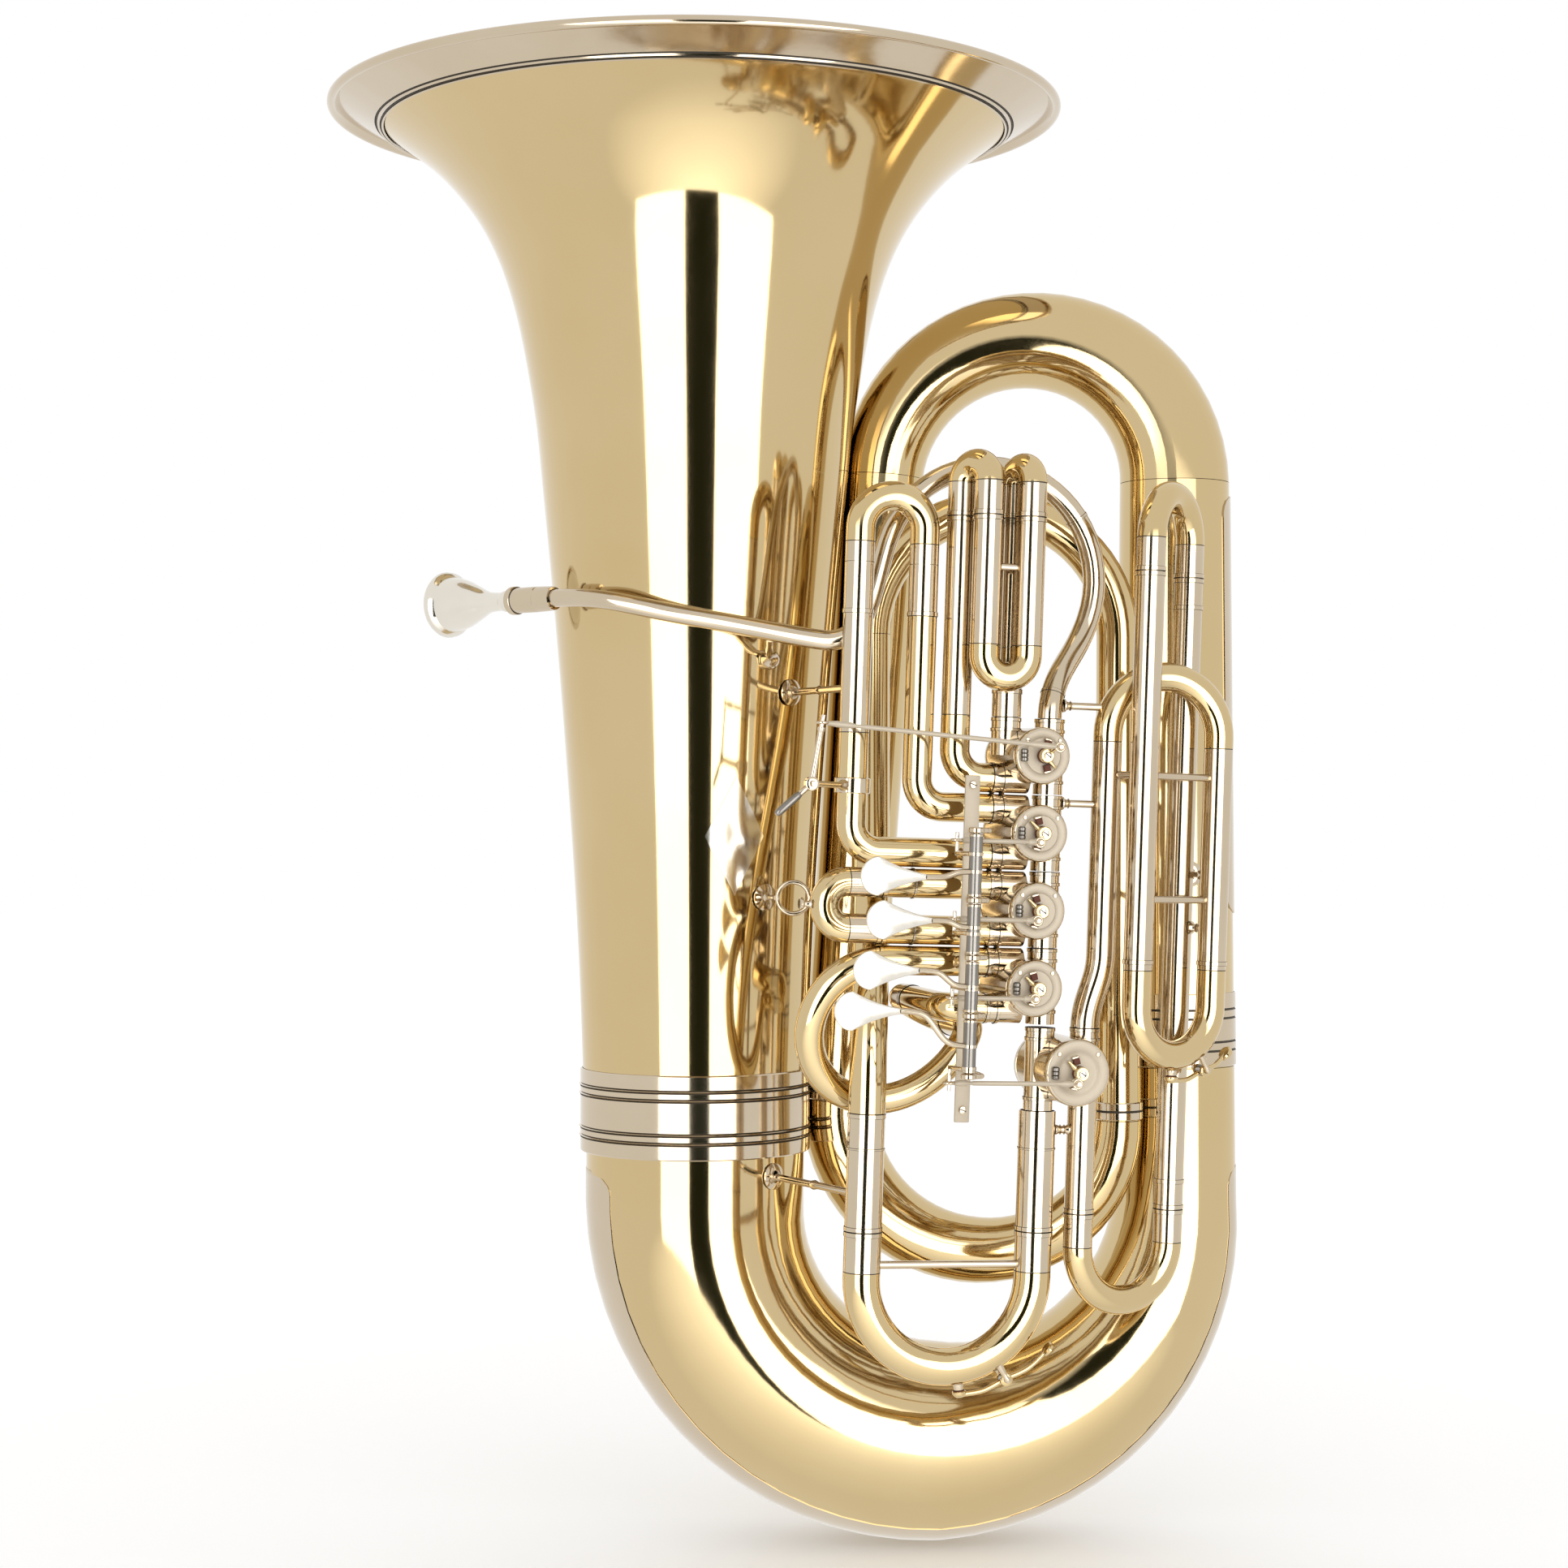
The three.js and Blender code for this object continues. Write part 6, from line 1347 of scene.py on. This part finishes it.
class TUBA_OT_slides(TubaOperator, bpy.types.Operator):
    """Builds the pull slides of the valves"""

    bl_idname = "tuba.slides"
    bl_label = "Valve Slides"

    def build(self, scene):
        second = SECOND_SLIDE_X + SLEEVE
        (_, valve_z), _, spread, _ = VALVES[2]
        third = vec(THIRD_ELBOW_X, THIRD_END + JOINT_GAP, THIRD_Z)
        (x, _), _, offset, _ = VALVES[4]
        low = vec(x + offset, 0)
        upper, lower, top = FOURTH_TOP + JOINT_GAP, LOWER_END - JOINT_GAP, FIFTH_TOP + JOINT_GAP
        for name, start, heading, across, sizes in (
            (
                "first_slide", vec(FIRST_LEFT, 0, FIRST_TOP + JOINT_GAP), UP,
                RIGHT * (FIRST_RIGHT - FIRST_LEFT), {"brass": 9},
            ),
            ("second_slide", vec(second, 0, port_height(2, -1)), LEFT, UP * (2 * spread), {}),
            (
                "third_slide", third, BACK,
                vec(THIRD_LEG.x - THIRD_ELBOW_X, 0, THIRD_LEG.z - THIRD_Z),
                {"legs": 30, "sleeve": 16},
            ),
            ("fourth_slide_upper", at_height(FRONT_TUBE, upper), UP, BACK_TUBE - FRONT_TUBE, {}),
            ("fourth_slide_lower", at_height(low, lower), DOWN, BACK_TUBE - low, {}),
            ("fifth_slide_left", at_height(FIFTH_LEFT, top), UP, FIFTH_A - FIFTH_LEFT, {}),
            ("fifth_slide_right", at_height(FIFTH_B, top), UP, FIFTH_RIGHT - FIFTH_B, {}),
        ):
            piece = pull_slide(start, heading, across, scene.tuba_tubes, **sizes)
            if name == "second_slide":
                knob = vec(second - SLEEVE - spread - 9.2, 0, valve_z)
                piece.turned(knob, knob + LEFT * 7.7, [
                    (0, 3.2), (0.2, 2), (0.55, 2), (0.65, 3.6), (0.72, 4), (0.9, 4), (1, 3.2),
                ])
            piece.finish(name, name, "lacquered_brass")


class TUBA_OT_water_keys(TubaOperator, bpy.types.Operator):
    """Builds the two water keys"""

    bl_idname = "tuba.water_keys"
    bl_label = "Water Keys"

    def build(self, scene):
        MAIN_KEY.build("water_key_main")
        FOURTH_KEY.build("water_key_fourth")


class TUBA_OT_main_slide(TubaOperator, bpy.types.Operator):
    """Builds the main tuning slide and its two outer tubes"""

    bl_idname = "tuba.main_slide"
    bl_label = "Main Tuning Slide"

    def build(self, scene):
        tubes = scene.tuba_tubes
        width = mm(tubes.ring_width)
        for side, x, top, rings in (
            ("left", MAIN_LEFT, MAIN_TOP, [(0, width), (22, 1.4)]),
            ("right", MAIN_RIGHT, VALVES_FOOT, [(24, 1.4)]),
        ):
            route = tube_line(vec(x, 0, top), DOWN, top - MAIN_END)
            length = route.length
            piece = Piece().sweep(route, dressed_tube(
                length, mm(tubes.main_radius), MAIN_BORE, [(length, NICKEL)],
                rings + [(length - width, width)], mm(tubes.ring_rise),
            ), SIDES, True)
            if side == "left":
                joint = CONICAL_RADII["bell joint"]
                footed_stay(piece, vec(MAIN_LEFT, 0, -237), BELL_AXIS, joint, radians(-44))
            piece.finish("tuning_slide_tube_" + side)
        piece = pull_slide(
            vec(MAIN_LEFT, 0, MAIN_END - JOINT_GAP), DOWN, MAIN_SPAN, tubes,
            legs=70, sleeve=MAIN_SLEEVE, straight=MAIN_STRAIGHT, wide=True,
        )
        piece.stay(vec(MAIN_LEFT, 0, -282), vec(MAIN_RIGHT, 0, -282), 2.6, 3.6)
        MAIN_KEY.carrier(piece)
        piece.finish("main_tuning_slide", "main_tuning_slide", "lacquered_brass")


class TUBA_OT_leadpipe(TubaOperator, bpy.types.Operator):
    """Builds the leadpipe, the mouthpiece receiver and the mouthpiece"""

    bl_idname = "tuba.leadpipe"
    bl_label = "Leadpipe and Mouthpiece"

    def build(self, scene):
        turn = radians(139)
        way, receiver = vec(cos(turn), sin(turn)), vec(-246, -84, 650)
        self.pipe(scene.tuba_bell, receiver, way)
        # The receiver's groove and the step to its end collar carry dark lines of painted shade.
        Piece(Matrix()).sweep(Route(receiver + way * 0.4, way, UP).ahead(40), [
            (0, 7.6), (3, 8.2), (14, 8.6), (14.5, 8.2, SEAM_AND_SHADE), (15.5, 8.6, NICKEL), (34.4, 8.6),
            (35, 9.2, SEAM_AND_SHADE), (35.6, 9.6, NICKEL), (39.4, 9.6), (40, 9), (40, 6.9), (16, 6.9),
            (16, 6.3), (0, 6.3),
        ], 48, True).finish("mouthpiece_receiver")
        self.mouthpiece(receiver + way * 20.4, way)

    def pipe(self, bell, receiver, way):
        start_radius, end_radius, wall = 7.9, 6, 0.9
        arch, low, high = 74, radians(-18), radians(164)
        pass_height, climb = 635, radians(9.5)
        pass_radius = bell_radius_at(pass_height, bell) + 7 + start_radius
        route = Route(
            MACHINE @ vec(15, 0, VALVES_TOP), MACHINE_TURN @ UP, MACHINE_TURN @ RIGHT,
        )
        route.reach(
            MACHINE @ vec(-22 + arch * cos(low), 24, 166 + arch * sin(low)),
            MACHINE_TURN @ vec(-sin(low), 0, cos(low)), 32, 32,
        ).turn(arch, high - low, MACHINE_TURN @ -facing(low))
        route.reach(vec(-70, -128, 620), vec(-cos(climb), 0.15, sin(climb)), 38, 32)
        passing = vec(-148, -pass_radius, pass_height)
        route.reach(passing, vec(-cos(climb), 0.06, sin(climb)), 26, 26)
        length = route.reach(receiver, way, 50, 50).length
        tip = route.ahead(9).length
        slope = (end_radius - start_radius) / length
        stations = [(0, start_radius)]
        for distance in (16, 150):
            stations += raised_ring(distance, 2, start_radius + slope * distance, 0.4, NICKEL)
        stations += [
            (length, end_radius, NICKEL), (tip, end_radius), (tip, end_radius - wall),
            (0, start_radius - wall),
        ]
        piece = Piece(Matrix()).sweep(route, stations, 36, True)
        self.foot(piece, route, bell)
        piece.finish("leadpipe")

    def foot(self, piece, route, bell):
        """The foot that holds the leadpipe off the bell."""
        across, height = -103, 609
        around = bell_radius_at(height + 7, bell) + SEAT_GAP
        a = -acos((across - BELL_X) / around)
        foot = vec(BELL_X + around * cos(a), around * sin(a), height)
        low = [s[1] for s in route.samples if s[1].z < 645]
        top = min(low, key=lambda p: abs(p.x - across)) + DOWN * 5
        piece.turned(foot, top, [
            (0, 7), (0.06, 7), (0.12, 5.6), (0.2, 2.8), (0.3, 2.3), (0.5, 3.4), (0.7, 2.3),
            (1, 2.6),
        ])

    def mouthpiece(self, start, way):
        cup, total = 22.5, 86

        def sized(profile):
            return [Vector((share * total, radius * cup)) for share, radius in profile]

        outside = smooth_curve(sized((
            (0, 0.27), (0.24, 0.293), (0.3, 0.32), (0.36, 0.28), (0.5, 0.32), (0.62, 0.5),
            (0.78, 0.74), (0.91, 0.84),
        )), 4)
        rim = sized(((0.93, 0.93), (0.95, 0.985), (0.975, 1), (0.99, 0.97), (1, 0.9), (0.99, 0.8)))
        inside = smooth_curve(sized((
            (0.97, 0.75), (0.88, 0.66), (0.76, 0.5), (0.66, 0.22), (0.6, 0.17), (0, 0.2),
        )), 4)
        Piece(Matrix()).sweep(
            Route(start, way, UP).ahead(total), [(*p, BRIGHT) for p in outside + rim + inside],
            64, True,
        ).finish("mouthpiece", "mouthpiece")


class TUBA_OT_finishes(TubaOperator, bpy.types.Operator):
    """Makes the metals, the cork and the spring steel"""

    bl_idname = "tuba.finishes"
    bl_label = "Finishes"

    def build(self, scene):
        c, code = scene.tuba_finishes, hex_to_linear
        # Buffed yellow brass under clear lacquer: a crisp warm mirror with faint upright marks.
        metal(BRASS, c.brass, c.brass_deep, 0.07, 9, 120)
        # Nickel silver buffed by hand: a warm grey mirror, a little softer than the brass.
        metal(NICKEL, c.nickel, c.nickel_deep, 0.1, 6, 60)
        # Solder and tarnish left in a joint: a dull brown line. The same brown is painted shade in
        # grooves, beside raised rings, round the diamond plate, in screw slots and on the rotors'
        # necks.
        solid(SEAM_AND_SHADE, code("#4A3D26"), code("#2E2618"), 0.6, 3, 0.05)
        # Nickel polished bright where fingers and lips touch it.
        metal(BRIGHT, code("#E9E4DA"), code("#DED7CA"), 0.12, 5, 40)
        # Pressed cork: matt red-brown crumbs about half a millimetre across. On the rotors the same
        # cork colour is a collar of painted shade round the hub's neck.
        solid(CORK_AND_NECK_SHADE, c.cork, code("#4E2413"), 0.85, 0.5, 0.1)
        # Bright drawn spring wire: a darker, cooler grey than the nickel round it.
        metal(DARK, code("#8E8A84"), code("#7A756E"), 0.28, 4, 30)
        # Fine-blasted nickel on the valve faces and the lever rail: pale and hardly mirroring.
        solid(SATIN, code("#CBBDA6"), code("#C0B29B"), 0.45, 1.2, 0.01, metallic=0.12)


class TUBA_OT_stage(TubaOperator, bpy.types.Operator):
    """Makes the floor, the light panels, the pale surroundings and the camera"""

    bl_idname = "tuba.stage"
    bl_label = "Studio"

    def build(self, scene):
        studio = scene.tuba_studio
        self.floor([*scene.tuba_finishes.floor, 1])
        self.panels(-studio.panel_distance, studio.panel_strength)
        scene.world = bpy.data.worlds.new("studio_surroundings")
        scene.world.use_nodes = True
        tree = scene.world.node_tree
        tree.nodes.clear()
        light = add_node(tree, "Background", {"Color": WHITE, "Strength": 1.0})
        add_node(tree, "OutputWorld", {"Surface": light.outputs["Background"]})
        scene.view_settings.view_transform = "Standard"
        self.camera(scene, studio)

    def camera(self, scene, studio):
        """The photo's camera: its focal length and shift are in pixels of the photo."""
        photo_size, focal, shift, across = 1932, 3723, 26, -93.2
        camera = bpy.data.cameras.new("studio_camera")
        camera.sensor_width = 36
        camera.lens = focal / photo_size * 36
        camera.shift_y = shift / photo_size
        holder = bpy.data.objects.new("studio_camera", camera)
        spot = HORN @ vec(across, 0)
        holder.location = (
            spot.x * MM, spot.y * MM - studio.camera_distance, studio.camera_height,
        )
        holder.rotation_euler = (pi / 2, 0, 0)
        scene.collection.objects.link(holder)
        scene.camera = holder

    def floor(self, colour):
        material, tree = new_material("pale_studio_floor")
        grain = noise(tree, object_place(tree), 25)
        paint = mix(tree, grain, colour, [c * 0.99 for c in colour[:3]])
        matt = add_node(tree, "BsdfDiffuse", {"Color": paint})
        lift = add_node(tree, "Emission", {"Color": WHITE, "Strength": 0.05})
        white = add_node(tree, "AddShader", {0: matt.outputs["BSDF"], 1: lift.outputs["Emission"]})
        add_node(tree, "OutputMaterial", {"Surface": white.outputs["Shader"]})
        self.sheet("studio_floor", 12, Matrix(), material).visible_glossy = False

    def panels(self, far, strength):
        """Two bright panels with a dark gap between them and a soft glow below, for the metal."""
        left, dark_left, dark_right, right = -835, -232, 134, 1000
        floor_edge, height, fade = -0.07, 1.1, (0.78, 0.98)
        glow_x, glow_reach, glow_strength = -0.05, 0.95, 2.4
        lit, tree = new_material("light_panel")
        self.glow(tree, 2, *fade, strength)
        black, tree = new_material("black_cloth")
        cloth = self.glow(tree, 2, *fade, 1.0)
        share = add_node(tree, "MapRange", {
            "Value": self.measure(tree, 2), "From Min": fade[0], "From Max": fade[1],
        }).outputs["Result"]
        tint = mix(tree, share, hex_to_linear("#26281C"), WHITE)
        tree.links.new(tint, cloth.inputs["Color"])
        for name, low, high, material in (
            ("light_panel_left", left, dark_left, lit),
            ("black_cloth", dark_left, dark_right, black),
            ("light_panel_right", dark_right, right, lit),
        ):
            middle = (HORN @ vec((low + high) / 2, 0)).x * MM
            self.card(name, (
                Matrix.Translation((middle, far, floor_edge + height / 2))
                @ Matrix.Rotation(pi / 2, 4, "X")
                @ Matrix.Diagonal(((high - low) / 2 * MM, height / 2, 1, 1))
            ), material)
        soft, tree = new_material("floor_glow")
        spot = (glow_x, far, floor_edge)
        self.glow(tree, spot, 0, glow_reach, glow_strength)
        place = Matrix.Translation(spot) @ Matrix.Diagonal((1.4, glow_reach, 1, 1))
        self.card("floor_glow", place, soft)

    def measure(self, tree, spot):
        """Height above the floor where spot is an axis number, else the distance from spot."""
        place = object_place(tree)
        if isinstance(spot, int):
            return add_node(tree, "SeparateXYZ", {"Vector": place}).outputs[spot]
        node = add_node(tree, "VectorMath", {0: place, 1: spot}, operation="DISTANCE")
        return node.outputs["Value"]

    def glow(self, tree, spot, near, far, strong):
        """Emission that goes from strong to 1 between two distances."""
        strength = add_node(tree, "MapRange", {
            "Value": self.measure(tree, spot), "From Min": near, "From Max": far,
            "To Min": strong, "To Max": 1.0,
        }).outputs["Result"]
        light = add_node(tree, "Emission", {"Color": WHITE, "Strength": strength})
        add_node(tree, "OutputMaterial", {"Surface": light.outputs["Emission"]})
        return light

    def card(self, name, place, material):
        """A sheet that only the metal sees."""
        card = self.sheet(name, 1, place, material)
        card.visible_camera = card.visible_diffuse = card.visible_shadow = False

    def sheet(self, name, size, place, material):
        bm = bmesh.new()
        bmesh.ops.create_grid(bm, x_segments=4, y_segments=4, size=size, matrix=place)
        mesh = bpy.data.meshes.new(name)
        bm.to_mesh(mesh)
        bm.free()
        mesh.materials.append(material)
        obj = bpy.data.objects.new(name, mesh)
        bpy.context.scene.collection.objects.link(obj)
        return obj


GROUPS = {
    "tuba_bell": TubaBellSizes, "tuba_tubes": TubaTubeSizes, "tuba_levers": TubaLeverSizes,
    "tuba_finishes": TubaFinishes, "tuba_studio": TubaStudio,
}
OPERATORS = (
    TUBA_OT_finishes, TUBA_OT_bell, TUBA_OT_bell_fittings, TUBA_OT_bows, TUBA_OT_valves,
    TUBA_OT_linkage, TUBA_OT_finger_levers, TUBA_OT_thumb_lever, TUBA_OT_loops, TUBA_OT_slides,
    TUBA_OT_main_slide, TUBA_OT_water_keys, TUBA_OT_leadpipe, TUBA_OT_stage,
)


class TUBA_PT_panel(bpy.types.Panel):
    """Sizes, colours and build steps of the tuba"""

    bl_label = "Tuba"
    bl_idname = "TUBA_PT_panel"
    bl_space_type = "VIEW_3D"
    bl_region_type = "UI"
    bl_category = "Tuba"

    def draw(self, context):
        for name, group in GROUPS.items():
            box = self.layout.box()
            for key in group.__annotations__:
                box.prop(getattr(context.scene, name), key)
        for operator in OPERATORS:
            self.layout.operator(operator.bl_idname)


def register():
    for group in GROUPS.values():
        bpy.utils.register_class(group)
    for name, group in GROUPS.items():
        setattr(bpy.types.Scene, name, bpy.props.PointerProperty(type=group))
    for operator in OPERATORS:
        bpy.utils.register_class(operator)
    bpy.utils.register_class(TUBA_PT_panel)


def unregister():
    bpy.utils.unregister_class(TUBA_PT_panel)
    for operator in OPERATORS:
        bpy.utils.unregister_class(operator)
    for name, group in GROUPS.items():
        delattr(bpy.types.Scene, name)
        bpy.utils.unregister_class(group)


def main():
    register()
    for operator in OPERATORS:
        getattr(bpy.ops.tuba, operator.bl_idname.split(".")[1])()


if __name__ == "__main__":
    main()
